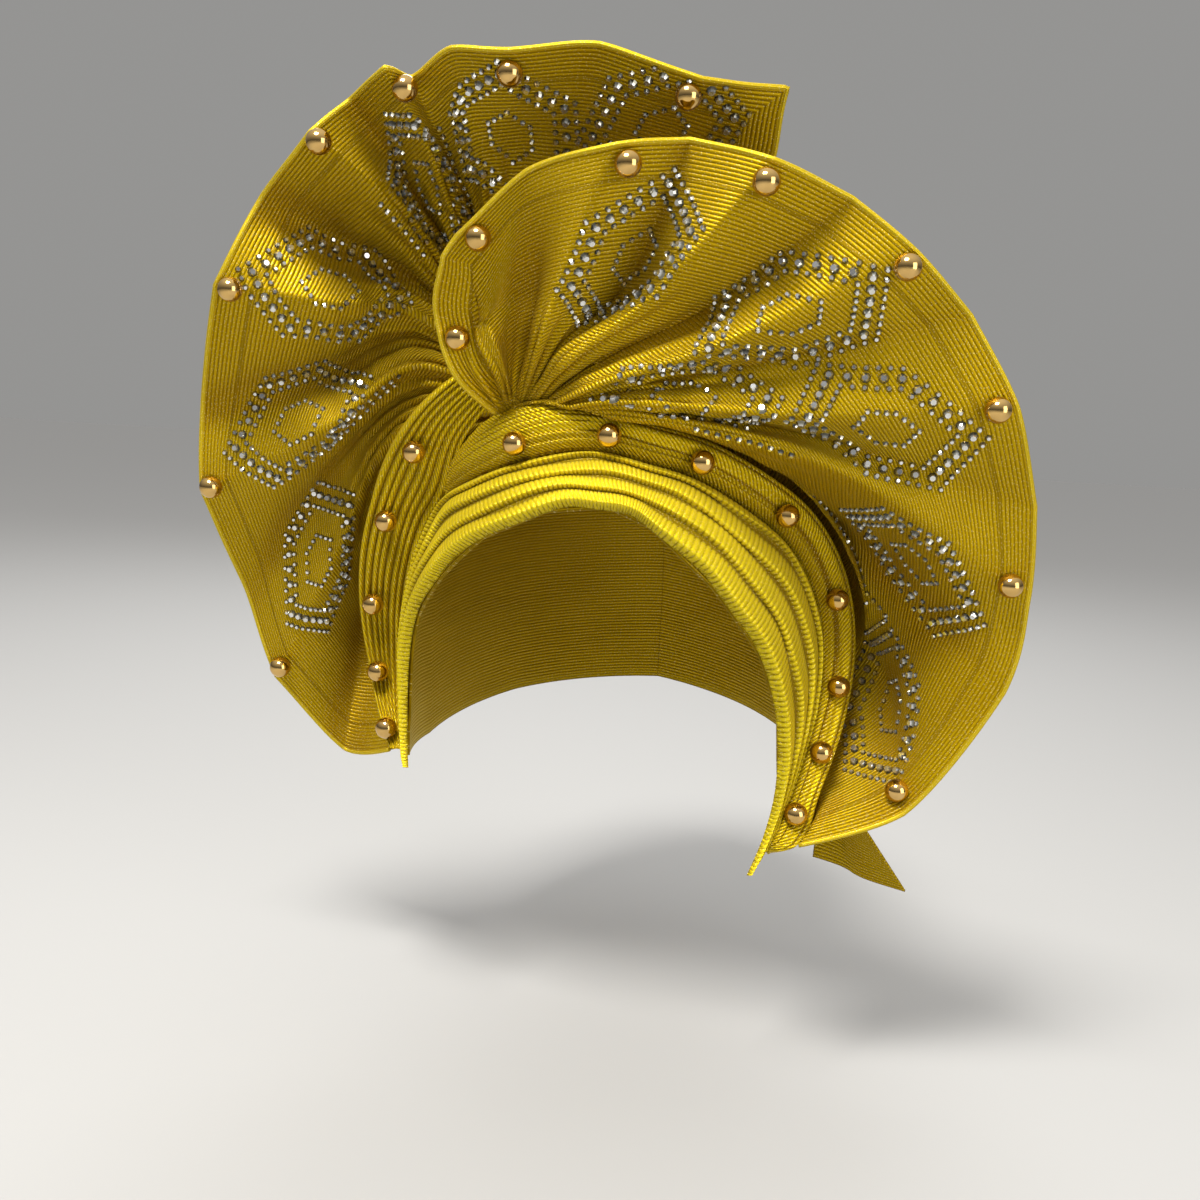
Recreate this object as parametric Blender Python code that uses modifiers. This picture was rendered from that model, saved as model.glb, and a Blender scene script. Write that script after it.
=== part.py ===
"""Tied gele head tie: a hollow cap of ribbed cloth with a pleated forehead band and two large
pleated fans, gathered at a knot over the wearer's right temple and set with gold beads.

Metres, +Z up. The origin is the crown of the head, on the underside of the cap's top.
The face looks along -Y and the wearer's left is +X.
"""
import math

import bmesh
import bpy
import numpy as np
from mathutils import Vector

# Head form that the cap fits
HEAD_HALF_WIDTH = 0.077
HEAD_HALF_LENGTH = 0.097
HEAD_DROP = 0.112          # crown down to the widest level
HEAD_ROUNDNESS = 2.3       # 2 is an ellipsoid, more is fuller at the crown

# Cloth and clearances
CAP_WALL = 0.0016
CLOTH = 0.0014
SEAT_GAP = 0.0005          # between curved cloth pieces whose facets differ
BEAD_GAP = 0.0004

# Bands, roll and pleat bundle
BAND_RISE = 0.0042         # height of a forehead pleat above the cap
NAPE_RISE = 0.0026
ROLL_RISE = 0.0125         # height of the roll's top ridge above the cap
ROLL_WIDTH = 0.0155
BUNDLE_RISE = 0.0225       # how far the knife pleats stand off the cap
BUNDLE_WIDTH = 0.0125

# Fans
KNOT_ANGLE = -27.0
KNOT_DROP = 0.22
KNOT_PROUD = 0.0205        # the knot's height above the head form
KNOT_SINK = 0.0110         # how far the gathered root is drawn in below the knot
KNOT_TUCK = 0.025          # and how far it is tucked toward the crown, a share of HEAD_DROP
FRONT_REACH = 0.180
FRONT_DEPTH = 0.060
BACK_KNOT_ANGLE = -38.0
BACK_KNOT_DROP = 0.12
BACK_KNOT_PROUD = 0.0190
BACK_KNOT_SINK = 0.0142
BACK_REACH = 0.180
BACK_DEPTH = 0.060
ROOT_SHARE = 0.018         # radius of the gathered root, a share of the reach
SEAT_FALL = 0.16           # share of its length in which a fan's last fold reaches the cap
SEAT_BEYOND = 0.38         # distance of that fold from the roll, a share of the roll's width
CREASE = 0.25              # 0 rounds every fold, 1 makes it a sharp crease

# Beads
BEAD_DIAMETER = 0.008
BEAD_BASE_SHARE = 0.30     # how far the flat back lies behind the centre, a share of the radius
BEAD_STAND = 0.0011        # a bead's flat back over the roll's ridges
BUNDLE_BEAD_STAND = 0.0013 # and over the knife pleats' edges

# Face-edge band: angle from straight ahead in degrees (+ is the wearer's left) and drop from the
# crown as a share of HEAD_DROP, of its lower and its upper edge
BAND_ROWS = [
    # lower angle, lower drop, upper angle, upper drop
    (-54, 1.25, -58, 1.235),
    (-57, 1.16, -64, 1.12),
    (-59, 1.02, -67, 0.97),
    (-58, 0.88, -66, 0.80),
    (-53, 0.74, -62, 0.63),
    (-43, 0.62, -58, 0.49),
    (-37, 0.55, -52, 0.39),
    (-28, 0.48, -39, 0.33),
    (-16, 0.42, -25, 0.28),
    (-4, 0.37, -9, 0.24),
    (6, 0.37, 4, 0.23),
    (14, 0.38, 19, 0.255),
    (20, 0.42, 33, 0.29),
    (32, 0.52, 48, 0.37),
    (40, 0.63, 61, 0.47),
    (48, 0.75, 70, 0.61),
    (54, 0.91, 74, 0.76),
    (57, 1.07, 72, 0.93),
    (57, 1.21, 66, 1.10),
    (54, 1.33, 59, 1.27),
    (49, 1.44, 51, 1.41),
]
# Share of the band's width that each pleat shows, from the face up
BAND_PLEATS = (0.27, 0.29, 0.29, 0.15)

# Lower edge of the cap: angle and drop
CAP_EDGE_ROWS = [
    (-180, 1.18),
    (-130, 1.22),
    (-90, 1.28),
    (-66, 1.26),
    (-61, 1.10),
    (-60, 0.92),
    (-55, 0.76),
    (-42, 0.61),
    (-28, 0.475),
    (-10, 0.385),
    (8, 0.36),
    (20, 0.41),
    (36, 0.57),
    (50, 0.78),
    (58, 1.00),
    (59, 1.20),
    (64, 1.36),
    (90, 1.36),
    (130, 1.26),
    (180, 1.18),
]

# Nape band: angle, drop of its lower edge; its width is NAPE_WIDTH
NAPE_WIDTH = 0.024
NAPE_ROWS = [
    (83, 1.345),
    (108, 1.29),
    (136, 1.22),
    (160, 1.17),
    (180, 1.155),
    (200, 1.16),
    (224, 1.18),
    (248, 1.22),
    (273, 1.255),
]

# Roll beside the band: start and end rows of BAND_ROWS, with the share of the full height
ROLL_ROWS = [
    # band row, width share, rise share
    (6.6, 0.88, 0.58),
    (8.4, 0.88, 0.98),
    (10.0, 0.74, 0.94),
    (12.0, 0.78, 0.95),
    (14.0, 0.92, 1.00),
    (16.0, 1.00, 1.00),
    (17.5, 0.85, 0.90),
    (18.6, 0.60, 0.75),
    (19.6, 0.30, 0.45),
]
# Cross-section of the roll: across and rise as shares, from the band's side to the crown's side
ROLL_PROFILE = [
    (0.00, 0.22),
    (0.05, 0.48),
    (0.14, 0.52),
    (0.17, 0.66),
    (0.27, 0.74),
    (0.30, 0.88),
    (0.44, 1.00),
    (0.60, 0.92),
    (0.80, 0.62),
    (1.00, 0.14),
]

# Pleat bundle: angle and drop of its front foot, base height and rise as shares of BUNDLE_RISE
BUNDLE_ROWS = [
    # angle, drop, base share, rise share, width share
    (-33, 0.17, 0.68, 0.60, 0.75),
    (-44, 0.26, 0.42, 0.85, 0.90),
    (-54, 0.375, 0.00, 1.18, 1.00),
    (-60, 0.49, 0.00, 1.08, 1.00),
    (-64, 0.64, 0.00, 1.00, 1.00),
    (-68, 0.81, 0.00, 0.88, 1.00),
    (-69, 0.97, 0.00, 0.70, 0.90),
    (-66, 1.11, 0.00, 0.50, 0.70),
    (-61, 1.22, 0.00, 0.26, 0.45),
]
BUNDLE_PLEATS = 7
BUNDLE_LEAN = 0.25         # how far the topmost pleat lies behind the lowest, a share of the width
BUNDLE_NOTCH = 0.10        # depth of the step between two pleats, a share of the width
# The bundle's back, from its top down to the cap: back and up as shares of width and rise
BUNDLE_BACK = [
    (0.42, 0.99),
    (0.80, 0.80),
    (1.00, 0.40),
    (1.00, 0.00),
    (0.55, 0.00),
]

# Fold lines of the front fan. Each row is one crest or valley: the direction of its gathered
# root, then its direction (degrees in the front plane, 0 is +X, 90 is up), its reach from the
# knot and how far it comes forward of the knot, near the root, halfway and at the rim
FRONT_FOLDS = [
    # root, near: dir, reach, fwd, half: dir, reach, fwd, rim: dir, reach, fwd
    (190, 140, 0.070, 0.12, 119, 0.175, 0.25, 103, 0.255, 0.40),
    (140, 92, 0.080, 0.05, 95, 0.160, 0.10, 97, 0.285, 0.40),
    (112, 78, 0.115, 0.08, 79, 0.210, 0.19, 76, 0.395, 0.50),
    (92, 50, 0.140, 0.16, 57, 0.240, 0.30, 60, 0.480, 0.59),
    (76, 41, 0.160, 0.06, 43, 0.310, 0.05, 51, 0.560, 0.45),
    (62, 33, 0.160, 0.15, 34, 0.355, 0.29, 39, 0.630, 0.59),
    (50, 23, 0.190, 0.06, 26, 0.410, 0.09, 30, 0.705, 0.40),
    (40, 15, 0.195, 0.15, 17, 0.435, 0.29, 21, 0.765, 0.40),
    (30, 10, 0.200, 0.06, 12, 0.485, 0.09, 13, 0.830, 0.20),
    (22, 6, 0.205, 0.12, 2, 0.520, 0.15, 3, 0.900, 0.07),
    (15, 3, 0.215, 0.05, -1, 0.535, -0.05, -7, 0.960, -0.16),
    (8, 0, 0.220, 0.07, -6, 0.580, -0.01, -16, 1.005, -0.30),
    (0, 0, 0.225, -0.03, -17, 0.640, -0.72, -26, 1.050, -0.38),
    (-8, -3, 0.255, -0.16, -30, 0.790, -0.95, -42, 1.060, -0.38),
]
FRONT_STATIONS = (0.0, 0.25, 0.58, 1.0)

# Fold lines of the back fan, from its cut end at the top round to the wearer's right ear
BACK_FOLDS = [
    # root, near: dir, reach, fwd, half: dir, reach, fwd, rim: dir, reach, fwd
    (20, 42, 0.210, -0.12, 39, 0.425, 0.07, 43, 0.680, 0.47),
    (38, 56, 0.212, -0.10, 55, 0.420, 0.17, 52, 0.595, 0.67),
    (54, 73, 0.202, -0.11, 70, 0.395, 0.23, 69, 0.555, 0.73),
    (68, 90, 0.210, -0.07, 85, 0.375, 0.23, 83, 0.505, 0.83),
    (80, 100, 0.230, -0.07, 97, 0.385, 0.30, 95, 0.510, 0.80),
    (90, 108, 0.230, -0.13, 107, 0.367, 0.13, 105, 0.490, 0.67),
    (100, 114, 0.220, -0.04, 109, 0.405, 0.40, 108, 0.500, 0.83),
    (110, 123, 0.225, -0.13, 121, 0.380, 0.13, 119, 0.505, 0.63),
    (120, 130, 0.212, -0.04, 126, 0.375, 0.40, 128, 0.480, 0.77),
    (130, 142, 0.210, -0.13, 146, 0.405, 0.13, 146, 0.505, 0.57),
    (142, 151, 0.200, -0.04, 161, 0.330, 0.38, 166, 0.505, 0.68),
    (156, 163, 0.196, -0.14, 183, 0.390, 0.03, 188, 0.595, 0.30),
    (170, 178, 0.185, -0.08, 199, 0.360, 0.20, 203, 0.670, 0.17),
    (184, 194, 0.210, -0.17, 210, 0.490, -0.20, 219, 0.755, -0.20),
    (198, 206, 0.257, -0.15, 224, 0.525, -0.22, 231, 0.865, -0.37),
    (212, 222, 0.370, -0.36, 235, 0.670, -0.67, 244, 0.940, -0.60),
]
BACK_STATIONS = (0.0, 0.25, 0.60, 1.0)
# The back fan's last fold lies on the cap behind the pleat bundle: angle, drop
BACK_SEAT_ROWS = [
    (-62, 0.14),
    (-82, 0.36),
    (-89, 0.62),
    (-90, 0.88),
    (-84, 1.08),
    (-72, 1.26),
]

# Beads on the fans: fold row (0 is the first) and place along the fold
FRONT_BEADS = [(0.35, 0.46), (1.30, 0.93), (3.25, 0.955), (5.1, 0.955), (7.1, 0.97), (9, 0.965),
               (11, 0.96), (13, 0.955)]
BACK_BEADS = [(1.05, 0.95), (3.05, 0.94), (5.75, 0.92), (8.0, 0.96), (10, 0.95), (12, 0.965),
              (14, 0.965)]
# Beads on the roll and on the bundle: place along it, as a share of its length
ROLL_BEAD_ACROSS = 0.22
ROLL_BEAD_RISE = 0.64
ROLL_BEADS = (0.115, 0.26, 0.37, 0.47, 0.58, 0.69, 0.795, 0.915)
BUNDLE_BEAD_UP = 0.66
BUNDLE_BEADS = (0.20, 0.395, 0.59, 0.765, 0.93)

# Tail: free end of the cloth behind the wearer's left ear
TAIL_LENGTH = 0.044
TAIL_SPREAD = 0.034
TAIL_FLARE = 0.013         # how far the middle of its end stands out from its root
TAIL_WAVE = 0.0025
TAIL_ANGLE = 91.0
TAIL_SWEEP = 15.0          # the angle that its root covers
TAIL_DROP = 1.22

YELLOW = (0.60, 0.44, 0.012)
BAND_YELLOW = (0.72, 0.56, 0.02)
GOLD = (0.83, 0.55, 0.16)


def clear_scene():
    for item in list(bpy.data.objects):
        bpy.data.objects.remove(item, do_unlink=True)


def make_collection(name):
    collection = bpy.data.collections.new(name)
    bpy.context.scene.collection.children.link(collection)
    return collection


def material(name, colour, roughness, metallic):
    mat = bpy.data.materials.new(name)
    mat.use_nodes = True
    shader = mat.node_tree.nodes["Principled BSDF"]
    shader.inputs["Base Color"].default_value = (*colour, 1.0)
    shader.inputs["Roughness"].default_value = roughness
    shader.inputs["Metallic"].default_value = metallic
    return mat


def add_object(collection, name, mesh, mat):
    item = bpy.data.objects.new(name, mesh)
    collection.objects.link(item)
    if not mesh.materials:
        mesh.materials.append(mat)
    return item


def head_girth(drop):
    """Share of the head's half widths at a drop below the crown."""
    height = min(1.0, max(0.0, 1.0 - drop))
    return (1.0 - height ** HEAD_ROUNDNESS) ** (1.0 / HEAD_ROUNDNESS)


def head_point(angle, drop, proud):
    """Point above the head form, along its outward normal."""
    turn = math.radians(angle)
    height = min(1.0, max(0.0, 1.0 - drop))
    girth = head_girth(drop)
    x = HEAD_HALF_WIDTH * girth * math.sin(turn)
    y = -HEAD_HALF_LENGTH * girth * math.cos(turn)
    point = Vector((x, y, -HEAD_DROP * drop))
    slope = height ** (HEAD_ROUNDNESS - 1.0) * girth ** (2.0 - HEAD_ROUNDNESS) / HEAD_DROP
    normal = Vector((x / HEAD_HALF_WIDTH ** 2, y / HEAD_HALF_LENGTH ** 2, slope))
    return point + normal.normalized() * proud


def spline(rows, place):
    """Catmull-Rom value of a table at a fractional row."""
    table = np.asarray(rows, dtype=float)
    last = len(table) - 1
    place = min(max(place, 0.0), float(last))
    first = min(int(place), last - 1)
    t = place - first
    before = table[max(first - 1, 0)]
    start = table[first]
    end = table[first + 1]
    after = table[min(first + 2, last)]
    return 0.5 * (2.0 * start + (end - before) * t
                  + (2.0 * before - 5.0 * start + 4.0 * end - after) * t * t
                  + (3.0 * start - before - 3.0 * end + after) * t ** 3)


def along_stations(stations, values, place):
    """Smooth curve through values that lie at uneven stations."""
    values = np.asarray(values, dtype=float)
    slopes = np.gradient(values, np.asarray(stations), axis=0)
    index = 0
    while index < len(stations) - 2 and place > stations[index + 1]:
        index += 1
    span = stations[index + 1] - stations[index]
    t = (place - stations[index]) / span
    square = t * t
    cube = square * t
    return ((2 * cube - 3 * square + 1) * values[index]
            + (cube - 2 * square + t) * span * slopes[index]
            + (3 * square - 2 * cube) * values[index + 1]
            + (cube - square) * span * slopes[index + 1])


def loft(name, sections, collection, mat):
    """Closed solid through rings of points, with flat ends."""
    mesh_builder = bmesh.new()
    rings = [[mesh_builder.verts.new(point) for point in section] for section in sections]
    count = len(rings[0])
    for ring, following in zip(rings, rings[1:]):
        for i in range(count):
            j = (i + 1) % count
            mesh_builder.faces.new((ring[i], ring[j], following[j], following[i]))
    mesh_builder.faces.new(rings[0])
    mesh_builder.faces.new(rings[-1])
    bmesh.ops.triangulate(mesh_builder, faces=mesh_builder.faces[:])
    bmesh.ops.recalc_face_normals(mesh_builder, faces=mesh_builder.faces[:])
    mesh = bpy.data.meshes.new(name)
    mesh_builder.to_mesh(mesh)
    mesh_builder.free()
    return add_object(collection, name, mesh, mat)


def cloth_sheet(name, surface, places, along, thickness, collection, mat):
    """Sheet of cloth: a flat grid moved onto a surface, with a wall by Solidify."""
    across = len(places) - 1
    builder = bmesh.new()
    bmesh.ops.create_grid(builder, x_segments=across, y_segments=along, size=0.5)
    for vert in builder.verts:
        place = places[round((vert.co.x + 0.5) * across)]
        vert.co = surface(place, vert.co.y + 0.5)
    bmesh.ops.triangulate(builder, faces=builder.faces[:])
    mesh = bpy.data.meshes.new(name)
    builder.to_mesh(mesh)
    builder.free()
    item = add_object(collection, name, mesh, mat)
    wall = item.modifiers.new("cloth wall", 'SOLIDIFY')
    wall.thickness = thickness
    wall.offset = 0.0
    return item


def cap_edge_drop(angle):
    table = np.array(CAP_EDGE_ROWS, dtype=float)
    return float(np.interp(angle, table[:, 0], table[:, 1]))


def build_crown_cap(collection, mat):
    """Hollow cap over the head form, open below and at the face."""
    columns = 28
    rings = 8
    builder = bmesh.new()
    crown = builder.verts.new((0.0, 0.0, 0.0))
    rows = []
    for ring in range(1, rings + 1):
        share = ring / rings
        row = []
        for column in range(columns):
            angle = -180.0 + 360.0 * column / columns
            drop = cap_edge_drop(angle) * share ** 1.7
            row.append(builder.verts.new(head_point(angle, drop, 0.0)))
        rows.append(row)
    for i in range(columns):
        j = (i + 1) % columns
        builder.faces.new((crown, rows[0][i], rows[0][j]))
        for upper, lower in zip(rows, rows[1:]):
            builder.faces.new((upper[i], lower[i], lower[j], upper[j]))
    bmesh.ops.triangulate(builder, faces=builder.faces[:])
    bmesh.ops.recalc_face_normals(builder, faces=builder.faces[:])
    mesh = bpy.data.meshes.new("crown_cap")
    builder.to_mesh(mesh)
    builder.free()
    item = add_object(collection, "crown_cap", mesh, mat)
    wall = item.modifiers.new("cap wall", 'SOLIDIFY')
    wall.thickness = CAP_WALL
    wall.offset = 1.0


def strip_section(lower, upper, profile, base):
    """Ring of points: a profile on top and the head form's curve beneath."""
    lower = np.asarray(lower)
    upper = np.asarray(upper)
    ring = []
    for across, rise in profile:
        angle, drop = lower + (upper - lower) * across
        ring.append(head_point(angle, drop, base + rise))
    for across in (1.0, 0.67, 0.33, 0.0):
        angle, drop = lower + (upper - lower) * across
        ring.append(head_point(angle, drop, base))
    return ring


def band_profile(rise):
    """Overlapping pleats, each highest at its folded lower edge."""
    points = []
    start = 0.0
    for width in BAND_PLEATS:
        points.append((start + 0.01, rise))
        points.append((start + 0.60 * width, rise * 0.88))
        points.append((start + width, rise * 0.48))
        start += width
    return points


def build_forehead_band(collection, mat):
    base = CAP_WALL + SEAT_GAP
    sections = []
    steps = 40
    last = len(BAND_ROWS) - 1
    for step in range(steps + 1):
        row = spline(BAND_ROWS, last * step / steps)
        # The pleats flatten over the first and last eighth of the band
        ease = min(1.0, 0.45 + 4.0 * min(step, steps - step) / steps)
        sections.append(strip_section(row[:2], row[2:], band_profile(BAND_RISE * ease), base))
    loft("forehead_band", sections, collection, mat)


def beyond_band(place, gap, width):
    """Two points on the crown's side of the band's upper edge, as angle and drop."""
    row = spline(BAND_ROWS, place)
    here = head_point(row[2], row[3], 0.0)
    inward = head_point(row[0], row[1], 0.0)
    length = (here - inward).length
    step = (row[2:] - row[:2]) / max(length, 0.004)
    ahead = spline(BAND_ROWS, place + 0.1)[2:] - spline(BAND_ROWS, place - 0.1)[2:]
    along = head_point(*(row[2:] + ahead), 0.0) - here
    side = head_point(*(row[2:] + step * 0.001), 0.0) - here
    along.normalize()
    # Square to the band's edge, pointing away from the face
    square = side - along * side.dot(along)
    share = 0.001 / max(square.length, 0.0003)
    turn = ahead / max((head_point(*(row[2:] + ahead), 0.0) - here).length, 1e-6)
    outward = step * share - turn * side.dot(along) / max(square.length, 0.0003)
    return row[2:] + outward * gap, row[2:] + outward * (gap + width)


def roll_row(share):
    """Place on the band, width and rise of the roll at a share of its length."""
    return spline(ROLL_ROWS, share * (len(ROLL_ROWS) - 1))


def roll_section(share):
    place, width, rise = roll_row(share)
    lower, upper = beyond_band(place, SEAT_GAP * 2.0, ROLL_WIDTH * width)
    profile = [(across, height * ROLL_RISE * rise) for across, height in ROLL_PROFILE]
    return strip_section(lower, upper, profile, CAP_WALL + SEAT_GAP)


def build_front_roll(collection, mat):
    steps = 34
    sections = [roll_section(step / steps) for step in range(steps + 1)]
    loft("front_roll", sections, collection, mat)


def bundle_point(share, back, up):
    """Point in the bundle's section: back from its front foot and up off the cap, as shares."""
    angle, drop, base, rise, width = spline(BUNDLE_ROWS, share * (len(BUNDLE_ROWS) - 1))
    sweep = math.degrees(width * BUNDLE_WIDTH / HEAD_HALF_WIDTH) / max(head_girth(drop), 0.45)
    height = CAP_WALL + SEAT_GAP + (base + rise * up) * BUNDLE_RISE
    return head_point(angle - sweep * back, drop, height)


def bundle_section(share):
    """Knife pleats stacked off the cap, their folds facing forward."""
    ring = []
    for pleat in range(BUNDLE_PLEATS):
        low = pleat / BUNDLE_PLEATS
        mid = (pleat + 0.5) / BUNDLE_PLEATS
        ring.append((BUNDLE_LEAN * low + BUNDLE_NOTCH, low))
        ring.append((BUNDLE_LEAN * low, mid))
    ring.extend(BUNDLE_BACK)
    return [bundle_point(share, back, up) for back, up in ring]


def build_left_pleats(collection, mat):
    steps = 26
    sections = [bundle_section(step / steps) for step in range(steps + 1)]
    loft("left_pleats", sections, collection, mat)


def build_nape_band(collection, mat):
    base = CAP_WALL + SEAT_GAP
    height = NAPE_WIDTH / HEAD_DROP
    rise = NAPE_RISE
    profile = [(0.0, rise * 0.8), (0.06, rise), (0.45, rise * 0.85), (0.5, rise * 0.55),
               (0.56, rise), (0.94, rise * 0.9), (1.0, rise * 0.6)]
    steps = 26
    sections = []
    for step in range(steps + 1):
        angle, drop = spline(NAPE_ROWS, (len(NAPE_ROWS) - 1) * step / steps)
        sections.append(strip_section((angle, drop), (angle, drop - height), profile, base))
    loft("nape_band", sections, collection, mat)


def polar_point(centre, direction, reach, forward, full_reach, full_depth):
    turn = math.radians(direction)
    return np.array((centre.x + full_reach * reach * math.cos(turn),
                     centre.y - full_depth * forward,
                     centre.z + full_reach * reach * math.sin(turn)))


def fold_line(row, centre, gather, full_reach, full_depth):
    """The four points that one crest or valley passes through."""
    root = polar_point(gather, row[0], ROOT_SHARE, 0.0, full_reach, full_depth)
    points = [root]
    for first in (1, 4, 7):
        direction, reach, forward = row[first:first + 3]
        points.append(polar_point(centre, direction, reach, forward, full_reach, full_depth))
    return points


def above_head(point):
    """Distance of a point above the head form and the outward direction there."""
    power = HEAD_ROUNDNESS
    x = point[0] / HEAD_HALF_WIDTH
    y = point[1] / HEAD_HALF_LENGTH
    height = max(0.0, (point[2] + HEAD_DROP) / HEAD_DROP)
    around = max(x * x + y * y, 1e-6)
    level = around ** (power / 2.0) + height ** power
    steep = power * around ** (power / 2.0 - 1.0)
    slope = np.array((steep * x / HEAD_HALF_WIDTH, steep * y / HEAD_HALF_LENGTH,
                      power * height ** (power - 1.0) / HEAD_DROP))
    length = np.linalg.norm(slope)
    # The level grows with its power, so its root is nearly straight in the distance
    distance = (level ** (1.0 / power) - 1.0) * power * level ** (1.0 - 1.0 / power) / length
    return distance, slope / length


def clear_of_head(point, margin):
    """Move a point out until it lies a margin above the head form."""
    for _ in range(3):
        distance, outward = above_head(point)
        if distance < margin:
            point = point + outward * (margin - distance)
    return point


def roll_spine():
    """Middle line of the roll and its radius, which the front fan keeps clear of."""
    spine = []
    for step in range(81):
        place, width, rise = roll_row(step / 80.0)
        lower, upper = beyond_band(place, SEAT_GAP * 2.0, ROLL_WIDTH * width)
        middle = lower + (upper - lower) * 0.48
        radius = 0.5 * max(ROLL_RISE * rise, ROLL_WIDTH * width) * 1.12
        height = CAP_WALL + ROLL_RISE * rise * 0.46
        spine.append((*head_point(*middle, height), radius))
    return np.array(spine)


def clear_of_roll(point, spine, margin):
    """Lift a point off the head until it clears the roll, as cloth lies over a rope."""
    offsets = point - spine[:, :3]
    outward = above_head(point)[1]
    reach = spine[:, 3] + margin
    along = offsets @ outward
    inside = along ** 2 + reach ** 2 - (offsets ** 2).sum(axis=1)
    lift = np.sqrt(np.maximum(inside, 0.0)) - along
    return point + outward * max(0.0, float(lift[inside > 0.0].max(initial=0.0)))


def fan_surface(folds, stations, last_line, settle):
    """Surface through the fold lines; place 0 is the first fold and last_line follows the rest."""
    def surface(place, v):
        first = min(int(place), len(folds) - 1)
        t = place - first
        points = []
        for index in range(first - 1, first + 3):
            index = min(max(index, 0), len(folds))
            if index == len(folds):
                points.append(np.array(last_line(v)))
            else:
                points.append(along_stations(stations, folds[index], v))
        before, start, end, after = points
        smooth = 0.5 * (2.0 * start + (end - before) * t
                        + (2.0 * before - 5.0 * start + 4.0 * end - after) * t * t
                        + (3.0 * start - before - 3.0 * end + after) * t ** 3)
        straight = start + (end - start) * t
        return Vector(settle(smooth + (straight - smooth) * CREASE))
    return surface


def front_fan_surface():
    knot = head_point(KNOT_ANGLE, KNOT_DROP, KNOT_PROUD)
    gather = head_point(KNOT_ANGLE, KNOT_DROP - KNOT_TUCK, KNOT_PROUD - KNOT_SINK)
    folds = [fold_line(row, knot, gather, FRONT_REACH, FRONT_DEPTH) for row in FRONT_FOLDS]
    spine = roll_spine()
    margin = CAP_WALL + 2.4 * SEAT_GAP + CLOTH / 2.0

    def seat(v):
        """The last fold leaves the knot, passes over the roll and lies on the cap behind it."""
        place, width, rise = roll_row(0.10 + 0.90 * v)
        lower, upper = beyond_band(place, SEAT_GAP * 2.0, ROLL_WIDTH * width)
        outside = upper + (upper - lower) * SEAT_BEYOND
        fall = max(0.0, 1.0 - v / SEAT_FALL)
        start = polar_point(gather, -22.0, ROOT_SHARE, 0.0, FRONT_REACH, FRONT_DEPTH)
        rest = np.array(head_point(*outside, margin))
        return rest + (start - rest) * fall * fall

    def settle(point):
        point = clear_of_roll(point, spine, 3.4 * SEAT_GAP + CLOTH)
        return clear_of_head(point, margin)

    return fan_surface(folds, FRONT_STATIONS, seat, settle)


def back_fan_surface():
    knot = head_point(BACK_KNOT_ANGLE, BACK_KNOT_DROP, BACK_KNOT_PROUD)
    gather = head_point(BACK_KNOT_ANGLE, BACK_KNOT_DROP, BACK_KNOT_PROUD - BACK_KNOT_SINK)
    folds = [fold_line(row, knot, gather, BACK_REACH, BACK_DEPTH) for row in BACK_FOLDS]
    margin = CAP_WALL + 2.7 * SEAT_GAP + CLOTH / 2.0

    def seat(v):
        """The last fold lies on the cap behind the pleat bundle."""
        angle, drop = spline(BACK_SEAT_ROWS, v * (len(BACK_SEAT_ROWS) - 1))
        fall = max(0.0, 1.0 - v / SEAT_FALL)
        start = polar_point(gather, 226.0, ROOT_SHARE, 0.0, BACK_REACH, BACK_DEPTH)
        rest = np.array(head_point(angle, drop, margin))
        return rest + (start - rest) * fall * fall

    def settle(point):
        return clear_of_head(point, margin)

    return fan_surface(folds, BACK_STATIONS, seat, settle)


def fan_places(folds, steps, last_steps):
    """Places across a fan, finer over the last two panels, which bend round the head."""
    panels = len(folds)
    counts = [steps] * (panels - 2) + [last_steps] * 2
    places = [panel + step / count for panel, count in enumerate(counts) for step in range(count)]
    return places + [float(panels)]


def build_front_fan(collection, mat):
    places = fan_places(FRONT_FOLDS, 3, 7)
    cloth_sheet("front_fan", front_fan_surface(), places, 10, CLOTH, collection, mat)


def build_back_fan(collection, mat):
    places = fan_places(BACK_FOLDS, 3, 4)
    cloth_sheet("back_fan", back_fan_surface(), places, 8, CLOTH, collection, mat)


def tail_surface(u, v):
    """Free end that hangs behind the ear and spreads towards its lower edge."""
    proud = CAP_WALL + NAPE_RISE + CLOTH / 2.0 + 2.0 * SEAT_GAP
    middle = head_point(TAIL_ANGLE, TAIL_DROP, proud)
    root = head_point(TAIL_ANGLE + TAIL_SWEEP * (0.5 - u), TAIL_DROP, proud)
    side = u - 0.5
    end = middle + Vector((TAIL_FLARE + TAIL_SPREAD * side, -0.3 * TAIL_SPREAD * side,
                           -TAIL_LENGTH * (1.0 + 0.12 * side)))
    point = root.lerp(end, v)
    point.x += TAIL_WAVE * v * (0.5 + math.sin(3.0 * math.pi * u))
    return point


def build_tail(collection, mat):
    places = [step / 8.0 for step in range(9)]
    cloth_sheet("tail", tail_surface, places, 6, CLOTH, collection, mat)


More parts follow.
